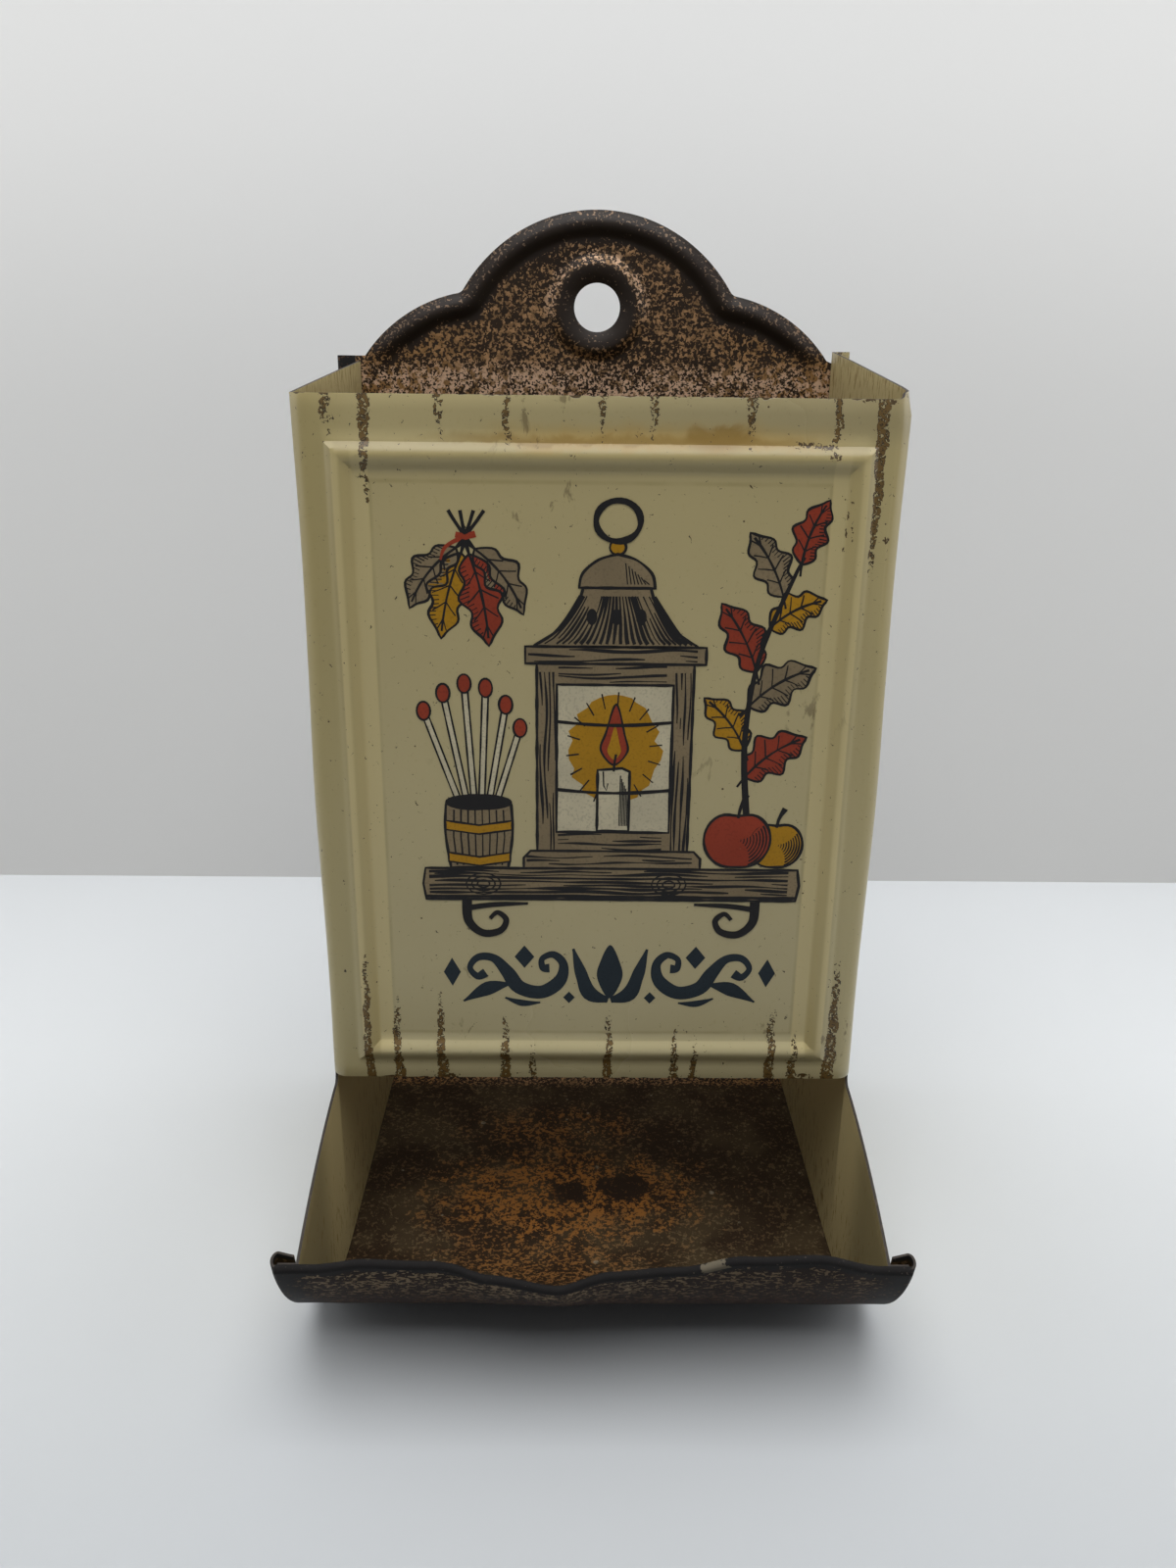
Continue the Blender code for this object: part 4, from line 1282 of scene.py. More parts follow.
class Paintwork(Nodes):
    """A material's nodes, with the place on the object as a socket and as its three parts."""

    def __init__(self, name, specular=0.5):
        self.material = bpy.data.materials.new(name)
        self.material.use_nodes = True
        super().__init__(self.material.node_tree)
        self.shader = self.tree.nodes["Principled BSDF"]
        self.shader.inputs["Specular IOR Level"].default_value = specular
        self.place = self.tree.nodes.new("ShaderNodeTexCoord").outputs["Object"]
        self.x, self.y, self.z = self.node("ShaderNodeSeparateXYZ", {0: self.place}).outputs

    def attribute(self, name):
        made = self.node("ShaderNodeAttribute", {}, attribute_name=name, attribute_type="GEOMETRY")
        return made.outputs["Fac"]

    def distance(self, place, centre):
        made = self.node("ShaderNodeVectorMath", {0: place, 1: centre}, operation="DISTANCE")
        return made.outputs["Value"]

    def noise(self, scale, detail=2.0, roughness=0.5, distortion=0.0, place=None):
        inputs = {"Vector": place or self.place, "Scale": scale, "Detail": detail}
        inputs.update({"Roughness": roughness, "Distortion": distortion})
        return self.node("ShaderNodeTexNoise", inputs).outputs["Fac"]

    def stretched(self, scale, shift=(0, 0, 0)):
        """The place scaled along each axis."""
        inputs = {"Vector": self.place, "Scale": scale, "Location": shift}
        return self.node("ShaderNodeMapping", inputs).outputs[0]

    def dots(self, scale, radius, share, flat=False):
        """Round dots, one in each cell of a scattered grid and kept in a share of the cells.

        Flat ones lie in x and y alone.
        """
        inputs = {"Vector": self.place, "Scale": scale}
        cells = self.node("ShaderNodeTexVoronoi", inputs, voronoi_dimensions="2D" if flat else "3D")
        drawn = self.node("ShaderNodeSeparateColor", {0: cells.outputs["Color"]}).outputs[0]
        dot = self.ease(cells.outputs["Distance"], radius, radius * 0.6)
        return self.times(self.math("LESS_THAN", drawn, share), dot)

    def ellipse(self, a, b, place, ragged, blur=0.35):
        """1 inside an ellipse of two coordinates, with a ragged border. place: its centre and half axes."""
        centre_a, centre_b, half_a, half_b = place
        across = self.math("DIVIDE", self.minus(a, centre_a), half_a)
        along = self.math("DIVIDE", self.minus(b, centre_b), half_b)
        squares = self.plus(self.math("POWER", across, 2.0), self.math("POWER", along, 2.0))
        return self.ease(self.plus(self.math("SQRT", squares), ragged), 1.0 + blur, 1.0 - blur)

    def mottle(self, ground, speck, threshold, grain, soft=SPECK_FADE):
        """Specks over the ground where the grain is above the threshold. Returns the colour and the mask."""
        mask = self.ease(self.minus(grain, threshold), -soft, soft)
        return self.mix(ground, speck, mask), mask

    def finish(self, colour, roughness, metallic, height, depth):
        """Feeds the shader, with the height as a bump of the given depth, and returns the material."""
        bump = self.node("ShaderNodeBump", {"Height": height, "Distance": depth, "Strength": 1.0})
        self.feed(self.shader.inputs["Base Color"], colour)
        self.feed(self.shader.inputs["Roughness"], roughness)
        self.feed(self.shader.inputs["Metallic"], metallic)
        self.feed(self.shader.inputs["Normal"], bump.outputs[0])
        return self.material


def raw_edge_material(finish):
    """Bare cut edges, dark with age."""
    work = Paintwork("raw_edge")
    wear = work.noise(900, 3)
    tone = work.mix(finish.raw_edge, shaded(finish.raw_edge, 2.6), work.ease(wear, 0.55, 0.75))
    return work.finish(tone, work.blend(0.6, 0.75, wear), 0.0, wear, 0.02 * MM)


def cream_material(finish, size, at):
    """Cream enamel with brown antiquing streaks, rust stain, specks and chipped edges."""
    work = Paintwork("cream_paint")
    half = size.body_width / 2
    cloud = work.noise(30, 3)
    tone = cream_colour(work, cloud, finish, at)
    tone = ridge_light_and_dirt(work, tone, finish, size, at)
    tone = rust_stain(work, tone, finish, at)
    front = work.ease(work.absolute(work.x), half - 0.3 * MM, half - 0.6 * MM)
    below, above = edge_depths(work, front, size, at)
    over = streak_marks(work, front, below, above, size, at)
    streak = work.ease(over, -0.012, 0.012)
    brown = work.mix(shaded(finish.streak, 0.16), finish.streak, work.ease(over, 0.035, 0.11))
    tone = work.mix(tone, brown, streak)
    marks = loose_marks(work, front, below, above)
    tone = work.mix(tone, shaded(finish.streak, 0.5), marks)
    worn = work.any_of(streak, marks)
    rough = work.plus(work.blend(0.31, 0.40, worn), work.ease(cloud, 0.3, 0.7, -0.04, 0.05))
    relief = work.added(work.times(work.noise(420, 3), 0.35), (worn, -0.6))
    return work.finish(tone, rough, 0.0, relief, 0.05 * MM)


def cream_colour(work, cloud, finish, at):
    """The enamel's colour: clouded, greyer low down, darker at the edges and in the upper margin."""
    tone = work.mix(finish.cream, shaded(finish.cream, 0.90), cloud)
    high = work.ease(work.z, at.panel_low, at.panel_high)
    tone = work.mix(work.mix(tone, finish.cream_low, 0.55), tone, high)
    tone = work.tinted(tone, LEFT_TINT, work.ease(work.x, *LEFT_EDGE))
    tone = work.tinted(tone, RIGHT_TINT, work.ease(work.x, *RIGHT_EDGE))
    upper = work.ease(work.z, at.ridge_high - 1 * MM, at.ridge_high + 3 * MM)
    tone = work.tinted(tone, MARGIN_TINT, work.times(upper, work.ease(work.x, *DULL_MARGIN)))
    return work.tinted(tone, GRAIN_TINT, work.ease(work.noise(1300, 2), 0.62, 0.75, 0.0, 0.5))


def ridge_light_and_dirt(work, tone, finish, size, at):
    """Painted shade with grime along both edges of the ridge, painted shade with dust on its top flank, and a
    painted highlight on its upright runs with painted shade on their crest.
    """
    middle, rise = (at.ridge_low + at.ridge_high) / 2, (at.ridge_high - at.ridge_low) / 2
    flank = size.ridge_outer
    tall = work.absolute(work.minus(work.z, middle))
    broad = work.absolute(work.x)
    # Grime with painted shade: dark lines in the creases along both edges of the ridge
    dirt_and_shade = work.ease(work.noise(110, 3, 0.6), 0.35, 0.65, 0.25, 0.9)
    for inset, strength in ((0.0, 0.35), (flank + size.ridge_inner, 0.60)):
        gap = work.any_of(work.minus(broad, at.ridge_x - inset), work.minus(tall, rise - inset))
        line = work.ease(work.absolute(gap), 0.45 * MM, 0.05 * MM, 0.0, strength)
        tone = work.tinted(tone, DIRT_AND_SHADE_TINT, work.times(line, dirt_and_shade))

    # Dust with painted shade on the ridge's top flank, which faces the lamp above
    ledge = work.all_of(
        work.ease(work.z, at.ridge_high - flank, at.ridge_high - 0.6 * flank),
        work.ease(work.z, at.ridge_high + 0.2 * MM, at.ridge_high - 0.2 * MM),
        work.ease(broad, at.ridge_x, at.ridge_x - 1 * MM),
    )
    tone = work.tinted(tone, LEDGE_DUST_AND_SHADE_TINT, ledge)

    inwards = work.minus(at.ridge_x, broad)
    upright = work.times(work.ease(tall, rise, rise - 3 * MM), work.within(inwards, 0.0, 0.3, 4.7, 5.0))
    from_crest = work.absolute(work.minus(inwards, flank - 0.6 * MM))
    crest = work.times(upright, work.ease(from_crest, 1.1 * MM, 0.5 * MM))
    # Painted highlight: lighter cream on the ridge's upright runs, with painted shade on their crest
    tone = work.mix(tone, shaded(finish.cream, 1.22), upright, 0.6)
    return work.tinted(tone, CREST_SHADE_TINT, crest)


def rust_stain(work, tone, finish, at):
    """Rust that has crept over the ridge's top flank."""
    ragged = work.ease(work.noise(160, 4, 0.6, 0.6), 0.3, 0.7, -0.5 * MM, 0.5 * MM)
    height = work.plus(work.minus(work.z, at.ridge_high), ragged)
    glow = work.times(work.within(work.x, -21, -4, 20, 36), work.within(height, -1.4, 0.0, 0.6, 3.6))
    core = work.times(work.within(work.x, -29, -12, 20, 31), work.within(height, -0.4, 0.1, 0.4, 1.5))
    torn = work.ease(ragged, -0.5 * MM, 0.5 * MM, -0.3, 0.3)
    smudge = work.ellipse(work.x, height, millimetres(*RUST_SMUDGE), torn, 0.5)
    tone = work.mix(tone, finish.stain, glow, 0.60)
    tone = work.mix(tone, shaded(finish.stain, 0.6), core, 0.60)
    return work.mix(tone, shaded(finish.stain, 0.62), smudge, 0.75)


def edge_depths(work, front, size, at):
    """How far a place is below the upper edge of its wall, and above the front panel's lower edge."""
    rise = at.side_top - at.panel_high
    slope = work.minus(rise, work.ease(work.y, at.front_y, at.back_y, rise, 0.0))
    slope = work.plus(slope, work.ease(work.x, 0.0, size.body_width / 2, 0.0, size.side_lift))
    edge_z = work.added(at.panel_high, (work.opposite(front), slope))
    return work.minus(edge_z, work.z), work.minus(work.z, at.panel_low)


def streak_marks(work, front, below, above, size, at):
    """Worm-like marks in streaks from the front's upper and lower edges, and loose ones on the sides.

    Above 0 inside a mark, and rising towards its middle.
    """
    across = work.added(work.minus(work.x, 0.7 * MM), (work.noise(260, 2), 1.4 * MM))
    masks = []
    for depth, streaks in ((below, TOP_STREAKS), (above, FOOT_STREAKS)):
        reach = streak_reach(work, across, size.body_width / 2, streaks)
        masks.append(work.math("DIVIDE", work.minus(reach, depth), STREAK_FADE))
    inputs = {"W": work.y, "Scale": 190.0, "Detail": 2.0}
    along = work.node("ShaderNodeTexNoise", inputs, noise_dimensions="1D").outputs["Fac"]
    nearest = work.math("MINIMUM", below, work.absolute(work.minus(work.z, at.floor_z)))
    side = work.minus(work.times(work.ease(along, 0.60, 0.72), 14 * MM), nearest)
    side = work.times(work.math("DIVIDE", side, STREAK_FADE), work.opposite(front))
    strength = work.any_of(work.times(work.any_of(*masks), front), side)
    strength = work.node("ShaderNodeClamp", {0: strength}).outputs[0]
    level = work.added(0.71, (work.math("POWER", strength, 0.45), -0.31))
    return work.minus(work.noise(1700, 2.5, 0.6, 0.9), level)


def streak_reach(work, across, half, streaks):
    """How far the streaks reach at a place across, each one over its own width."""
    made = work.node("ShaderNodeFloatCurve", {1: work.math("MULTIPLY_ADD", across, 0.5 / half, 0.5)})
    curve = made.mapping.curves[0]
    curve.points[0].location = (0.0, 0.0)
    curve.points[1].location = (1.0, 0.0)
    for place, reach, width in streaks:
        for step, rise in ((-1, 0), (-0.45, 1), (0.45, 1), (1, 0)):
            spot = (place + step * width) * MM / (2 * half) + 0.5
            curve.points.new(min(max(spot, 0.001), 0.999), rise * reach / LONGEST_STREAK)
    for point in curve.points:
        point.handle_type = "VECTOR"
    made.mapping.update()
    return work.times(made.outputs[0], LONGEST_STREAK * MM)


def loose_marks(work, front, below, above):
    """Specks, scuffs and nicks in the paint, and the chipped line along the cut edges."""
    specks = work.any_of(work.dots(170, 0.035, 0.22), work.dots(420, 0.07, 0.10))
    scuff = work.noise(1.0, 5, 0.65, 0.4, work.stretched((420, 420, 190)))
    scuffed = work.noise(60, 2, place=work.stretched((1, 1, 1), (0.3, 0, 0.1)))
    scuffs = work.times(work.ease(scuffed, 0.60, 0.72), work.ease(scuff, 0.60, 0.66))
    foot_gap = work.added(work.absolute(above), (work.opposite(front), MM))
    edge_gap = work.math("MINIMUM", work.absolute(below), foot_gap)
    torn = work.ease(work.noise(400, 3), 0.45, 0.75, 0.15 * MM, -0.30 * MM)
    chips = work.ease(work.plus(edge_gap, torn), 0.10 * MM, 0.0)
    lace = work.ease(work.noise(1500, 2.5, 0.6, 0.8), 0.40, 0.62, 0.9, -0.7)
    nicks = [work.ellipse(work.x, work.z, millimetres(*nick), lace, 0.08) for nick in NICKS]
    return work.any_of(specks, work.times(scuffs, 0.55), chips, *nicks)


def cream_inside_material(finish, at):
    """The same enamel inside the box, yellower, with upright brush-like streaks near the cut edges, painted
    light that makes it lighter higher up and on the cheeks near the panel, and painted shade on the cheeks'
    front ends.
    """
    work = Paintwork("cream_inside")
    inside = finish.cream_inside
    tone = work.mix(inside, shaded(inside, 0.82), work.noise(45, 3))
    # Painted light: the inside grows lighter towards the panel's top
    tone = work.mix(tone, shaded(finish.cream, 0.88), work.ease(work.z, PAINTED_LIGHT_INSIDE_FROM, at.panel_high))
    cheek = work.ease(work.z, *CHEEK_HEIGHT)
    # Painted light on the cheeks near the panel and painted shade on their front ends
    lit = work.times(cheek, work.ease(work.y, *LIT_CHEEK))
    tone = work.mix(tone, shaded(inside, 1.3), lit)
    tone = work.tinted(tone, CHEEK_SHADE_TINT, work.times(cheek, work.ease(work.y, *DIM_CHEEK)))
    strokes = work.noise(1.0, 4, 0.65, 0.3, work.stretched((1500, 1500, 260)))
    near_top = work.ease(work.z, at.panel_high - 10 * MM, at.side_top)
    low = work.ease(work.z, *STROKED_FOOT, 0.0, 0.8)
    level = work.added(0.67, (work.any_of(near_top, low), -0.15))
    lines = work.ease(work.minus(strokes, level), 0.0, 0.06)
    tone = work.mix(tone, shaded(finish.streak, 1.2), lines, 0.72)
    specks = work.any_of(work.dots(240, 0.05, 0.25), work.dots(600, 0.09, 0.12))
    tone = work.mix(tone, shaded(finish.streak, 0.4), specks)
    return work.finish(tone, work.blend(0.42, 0.6, lines), 0.0, work.noise(500, 3), 0.03 * MM)


def print_material(name, tone):
    """Printing ink: slightly uneven, with fine stipple and a few worn specks."""
    work = Paintwork(name, specular=0.3)
    cover = work.noise(90, 3)
    stipple = work.ease(work.noise(2600, 1.5), 0.52, 0.66)
    shade = work.mix(tone, shaded(tone, 0.80), work.ease(cover, 0.3, 0.7))
    shade = work.mix(shade, shaded(tone, 0.62), stipple, 0.55)
    worn = work.any_of(work.dots(330, 0.06, 0.05), work.dots(800, 0.10, 0.03))
    shade = work.mix(shade, WORN_INK, worn, 0.7)
    return work.finish(shade, work.blend(0.40, 0.50, cover), 0.0, work.noise(900, 2), 0.01 * MM)


def head_parts(work, patch, at):
    """Masks of the head: the rim, its flank and the ring, where shade is painted, the crescent over the ring
    and the foot, where highlights are painted, and the crown.
    """
    flat = work.node("ShaderNodeCombineXYZ", {0: work.absolute(work.x), 1: 0.0, 2: work.z}).outputs[0]
    insets = []
    for centre, radius in ((at.crown, at.crown_radius), (at.lobe, at.lobe_radius)):
        insets.append(work.minus(radius, work.distance(flat, centre)))
    inset = work.plus(work.any_of(*insets), work.ease(patch, 0.3, 0.7, -0.35 * MM, 0.35 * MM))
    head = work.ease(work.z, at.shoulder_z - 1 * MM, at.shoulder_z + 3 * MM)
    hole = work.distance(flat, (0.0, 0.0, at.hole_z))
    from_rise = work.absolute(work.minus(hole, at.ring_radius - 0.8 * MM))
    over_hole = work.ease(work.z, at.hole_z - 3 * MM, at.hole_z + 2 * MM)
    low = work.ease(work.z, at.panel_high + 5.5 * MM, at.panel_high + 1.5 * MM)
    return SimpleNamespace(
        rim=work.times(work.ease(inset, 5.4 * MM, 3.8 * MM), head),
        flank=work.times(work.within(inset, 1.6, 2.8, 3.6, 5.0), head),
        ring=work.ease(hole, at.ring_crest + 0.6 * MM, at.ring_crest - 0.5 * MM),
        crescent=work.times(work.ease(from_rise, 1.7 * MM, 0.3 * MM), over_hole),
        foot=work.times(low, work.ease(work.z, *FOOT_STARTS)),
        crown=work.ease(work.z, at.hole_z - 6 * MM, at.hole_z + 8 * MM),
    )


def tray_parts(work, turn, ragged, size, at):
    """Masks of the tray: the whole of it, its front, the rust, the dark stains and the rolled lip."""
    whole = work.opposite(work.ease(work.y, at.back_y - 6 * MM, at.back_y - 3 * MM))
    from_lip = work.minus(turn, size.scoop_angle)
    return SimpleNamespace(
        whole=whole,
        front=work.times(work.ease(work.y, *TRAY_FRONT), whole),
        rust=work.times(patches(work, RUST_PATCHES, ragged), whole),
        stains=work.times(patches(work, TRAY_STAINS, ragged), whole),
        lip=work.ease(from_lip, *LIP_TURNS),
    )


def patches(work, rows, ragged):
    """1 in ragged patches of the floor, each with its own border and strength."""
    masks = []
    for *place, blur, strength in rows:
        mask = work.ellipse(work.x, work.y, millimetres(*place), ragged, blur)
        masks.append(work.times(mask, strength))
    return work.any_of(*masks)


def speck_colour(work, head, tray, clouds, finish):
    """Copper specks: golden at the plate's sides, darker on the rim and the ring as painted shade, bright on
    the foot and in the crescent over the ring as painted highlights, dull and rusty in the tray.
    """
    shade = work.noise(1000, 2)
    tone = work.mix(finish.bronze_speck, shaded(finish.bronze_speck, 0.55), work.ease(shade, 0.40, 0.60))
    tone = work.mix(tone, GOLDEN_SPECK, work.ease(work.absolute(work.x), *PLATE_SIDES), 0.6)
    # Painted shade: darker specks on the rim and the ring
    tone = work.mix(tone, RIM_SHADE_SPECK, work.any_of(head.rim, head.ring), 0.75)
    # Painted highlights: bright specks on the plate's foot and in the crescent over the ring
    bright = work.times(work.any_of(head.foot, head.crescent), work.ease(shade, 0.60, 0.45))
    bright = work.times(bright, work.ease(head.crescent, 0.0, 1.0, 0.90, 0.55))
    tone = work.mix(tone, finish.bronze_highlight, bright)
    dull = work.mix(DULL_SPECK, TAN_SPECK, work.ease(clouds, 0.40, 0.62))
    tone = work.mix(tone, dull, tray.whole, 0.95)
    tone = work.mix(tone, FRONT_SPECK, tray.front, 0.55)
    tone = work.mix(tone, finish.rust, tray.rust, 0.90)
    return work.mix(tone, LIP_SPECK, tray.lip)


def ground_colour(work, head, tray, patch, clouds, finish):
    """The brown-black ground under the specks, clouded in the tray, greyer on the rim and the ring as part of
    their painted shade, and plain on the lip.
    """
    tone = work.mix(finish.bronze_dark, PLATE_GROUND, work.ease(patch, 0.35, 0.65))
    floor = work.mix(TRAY_GROUND, TRAY_CLOUD, work.ease(clouds, 0.42, 0.66))
    tone = work.mix(tone, floor, tray.whole)
    # Painted shade: greyer ground on the rim and the ring
    tone = work.mix(tone, RIM_SHADE_GROUND, work.any_of(head.rim, head.ring), 0.8)
    return work.mix(tone, finish.charcoal, tray.lip)


def bronze_material(finish, size, at):
    """Antique bronze: copper specks on a brown-black ground, with painted shade on the rim and the ring and
    painted highlights on the foot and over the ring, rusty in the tray, dark on the lip.
    """
    work = Paintwork("bronze_mottle", specular=0.16)
    patch = work.noise(170, 3, 0.55)
    clouds = work.noise(75, 3, 0.6)
    ragged = work.ease(work.noise(260, 3, 0.6), 0.3, 0.7, -0.28, 0.28)
    turn = work.attribute("turn")
    head = head_parts(work, patch, at)
    tray = tray_parts(work, turn, ragged, size, at)
    grain = work.noise(1850, 2.2, 0.58, 0.6)
    grain = work.blend(grain, work.noise(1400, 3.2, 0.66, 0.5), work.times(tray.whole, 0.85))
    fine = work.times(work.any_of(head.foot, tray.lip), 0.6)
    grain = work.blend(grain, work.noise(2700, 2.2, 0.6), fine)
    level = work.added(
        0.61,
        (patch, -0.16),
        # Fewer specks on the rim, its flank and the ring are painted shade; more on the foot and the crescent
        # go with their painted highlights
        (head.rim, 0.045),
        (work.any_of(head.flank, head.ring), 0.13),
        (head.foot, -0.042),
        (head.crescent, -0.03),
        (head.crown, 0.030),
        (tray.whole, 0.040),
        (tray.rust, -0.070),
        (tray.stains, 0.110),
        (tray.front, -0.015),
        (tray.lip, 0.09),
    )
    ground = ground_colour(work, head, tray, patch, clouds, finish)
    copper = speck_colour(work, head, tray, clouds, finish)
    tone, speck = work.mottle(ground, copper, level, grain)
    tone = work.mix(tone, STAIN_TONE, tray.stains, 0.7)

    # Pale drops in the tray and the chip in the lip's lacquer
    drops = work.any_of(work.dots(95, 0.055, 0.16, flat=True), work.dots(230, 0.07, 0.06, flat=True))
    worn = work.ease(work.noise(1400, 2), 0.35, 0.60, 0.15, 0.75)
    tone = work.mix(tone, DROP_TONE, work.all_of(drops, tray.whole, worn))
    torn = work.plus(work.added(-1.7, (work.noise(900, 3), 3.4)), ragged)
    place = (CHIP_PLACE * MM, size.scoop_angle + CHIP_TURN, CHIP_HALF * MM, CHIP_HALF_TURN)
    tone = work.mix(tone, CHIP_TONE, work.ellipse(work.x, turn, place, torn, 0.10))

    rough = work.blend(0.34, 0.50, work.noise(300, 3))
    rough = work.added(rough, (speck, -0.04), (tray.whole, 0.16), (tray.lip, 0.26))
    metal = work.times(speck, work.added(0.28, (tray.whole, -0.24)))
    relief = work.added(work.times(work.noise(500, 3), 0.5), (speck, 0.5))
    relief = work.added(relief, (tray.lip, work.times(work.noise(620, 3), 4.0)))
    return work.finish(tone, rough, metal, relief, 0.03 * MM)


def bronze_reverse_material(finish, size, at):
    """The sheet's other side: specks on the front of the scoop, brighter high up as painted light, a dark
    band under the lip that is plain lacquer with the roll's shadow painted in, and plain dark lacquer on hems
    and back.
    """
    work = Paintwork("bronze_reverse", specular=0.10)
    grain = work.noise(1.0, 2.2, 0.58, 0.6, work.stretched((1150, 1900, 1900)))
    turn = work.attribute("turn")
    beside = work.ease(work.absolute(work.x), at.shoulder_x + 3 * MM, at.shoulder_x - 2 * MM)
    scoop = work.times(work.ease(turn, *SCOOP_TURNS), beside)
    from_lip = work.minus(turn, size.scoop_angle)
    # Painted light: more and brighter specks in the band high on the scoop's front, strongest at the left
    high = work.all_of(work.ease(from_lip, *LIT_BAND_TURNS), work.ease(work.x, *SCOOP_LEFT, 0.6, 1.0), scoop)
    ragged = work.ease(work.noise(400, 3), 0.3, 0.7, -0.008, 0.008)
    # Painted shadow under the rolled lip, with plain lacquer: fewer specks and a dark ground
    roll_shadow_band = work.ease(work.plus(from_lip, ragged), *ROLL_SHADOW_TURNS)
    patch = work.noise(150, 3, 0.55)
    level = work.added(0.755, (patch, -0.20), (scoop, -0.05), (high, -0.070), (roll_shadow_band, 0.12))
    copper = work.mix(REVERSE_SPECK, SCOOP_LIT_SPECK, high)
    ground = work.mix(finish.charcoal, SCOOP_GROUND, work.minus(scoop, roll_shadow_band))
    tone, speck = work.mottle(ground, copper, level, grain, 0.022)
    rough = work.blend(0.50, 0.66, work.noise(260, 3))
    relief = work.added(work.noise(420, 3), (speck, 0.4))
    return work.finish(tone, rough, work.times(speck, 0.12), relief, 0.03 * MM)


def settings(context):
    """The sizes, the finishes and the places that follow from the sizes."""
    size = context.scene.match_holder_sizes
    return size, context.scene.match_holder_finish, lay_out(size)


class OBJECT_OT_match_holder_body(bpy.types.Operator):
    """Builds the cream painted sheet: front panel, sides and cheeks"""

    bl_idname = "object.match_holder_body"
    bl_label = "Painted body"

    def execute(self, context):
        size, finish, at = settings(context)
        bm = bmesh.new()
        painted_sheet(bm, size, at)
        handled(bm, size, at)
        finishes = [cream_material(finish, size, at), cream_inside_material(finish, at)]
        finishes.append(raw_edge_material(finish))
        sheet_piece("painted_body", bm, size, "body_shell", finishes, -1)
        return {"FINISHED"}


class OBJECT_OT_match_holder_print(bpy.types.Operator):
    """Prints the picture and the ornament on the front panel"""

    bl_idname = "object.match_holder_print"
    bl_label = "Printed decoration"

    def execute(self, context):
        size, finish, at = settings(context)
        picture, band = still_life(), ornament_band()
        for tone in ("wood", "mustard", "red", "pale", "ink", "slate"):
            name = "print_" + tone
            material = print_material(name, getattr(finish, name))
            printed_piece(name, band if tone == "slate" else picture, tone, material, size, at)
        return {"FINISHED"}


class OBJECT_OT_match_holder_back(bpy.types.Operator):
    """Builds the bronze sheet: scalloped back plate, floor and scoop with its hemmed sides"""

    bl_idname = "object.match_holder_back"
    bl_label = "Back and tray"

    def execute(self, context):
        size, finish, at = settings(context)
        bm = bmesh.new()
        bronze_sheet(bm, size, at)
        finishes = [bronze_material(finish, size, at), bronze_reverse_material(finish, size, at)]
        finishes.append(raw_edge_material(finish))
        sheet_piece("bronze_back_and_tray", bm, size, "back_and_tray", finishes, 1)
        return {"FINISHED"}


# Stage

# Half widths of the floor and the backdrop, the floor's drop under the holder, the backdrop's middle height
FLOOR_HALF, WALL_HALF = 2.4, 1.4
FLOOR_DROP = 0.0002
WALL_MIDDLE = 0.3

# Painted shade: the floor grows darker towards the front, from the first y to the second, in place of the
# lamps' falloff
FLOOR_PAINTED_SHADE = (0.06, -0.12)
FLOOR_SHADE_TINT = (0.70, 0.71, 0.72)

# The backdrop's glow grows with the height, from the first to the second, from this share of it
GLOW_RISES = (0.12, 0.22)
LOW_GLOW_SHARE = 0.3

# Lamps: where each stands, where it points and its width. The side lamps mirror each other.
SOFTBOX = ((0.0, -0.19, 0.66), (0.0, -0.14, 0.0), 0.60)
FRONT_LIGHT = ((0.0, -0.32, 0.70), (0.0, 0.0, 0.08), 0.45)
SIDE_LIGHT = ((0.42, -0.03, 0.22), (0.0, -0.02, 0.09), 0.34)


class HolderStage(bpy.types.PropertyGroup):
    """Camera, lamps and backdrop."""

    camera_x: length("Camera across", "Where the camera stands", -0.0033)
    camera_y: length("Camera along", "Where the camera stands", -0.1737)
    camera_z: length("Camera height", "Where the camera stands", 0.1410)
    camera_yaw: turning("Camera yaw", "Turn to the right", 0.0126)
    camera_pitch: turning("Camera pitch", "Tilt downwards", 0.3351)
    camera_roll: turning("Camera roll", "Turn about the view", 0.01197)
    lens: FloatProperty(name="Lens", description="Focal length for a 36 mm sensor", default=27.218)
    wall_place: length("Backdrop place", "How far the backdrop stands behind the middle", 0.1468)
    floor: colour("Floor", "Colour of the floor", (0.735, 0.76, 0.78))
    wall: colour("Backdrop", "Colour of the backdrop", (0.825, 0.829, 0.822))
    floor_bounce: proportion("Floor bounce", "Share of light the floor throws back", 0.35)
    wall_glow: proportion("Backdrop glow", "Glow of the backdrop, high up", 0.185)
    surround: colour("Surround", "Light from all round", (0.050, 0.048, 0.047))
    distance: colour("Distance", "What is seen past the floor and the backdrop", (0.50, 0.51, 0.52))
    softbox_power: wattage("Softbox", "Power of the lamp above", 4.1)
    front_power: wattage("Front", "Power of the lamp in front", 0.20)
    right_power: wattage("Right", "Power of the lamp on the right", 0.50)
    left_power: wattage("Left", "Power of the lamp on the left", 0.42)


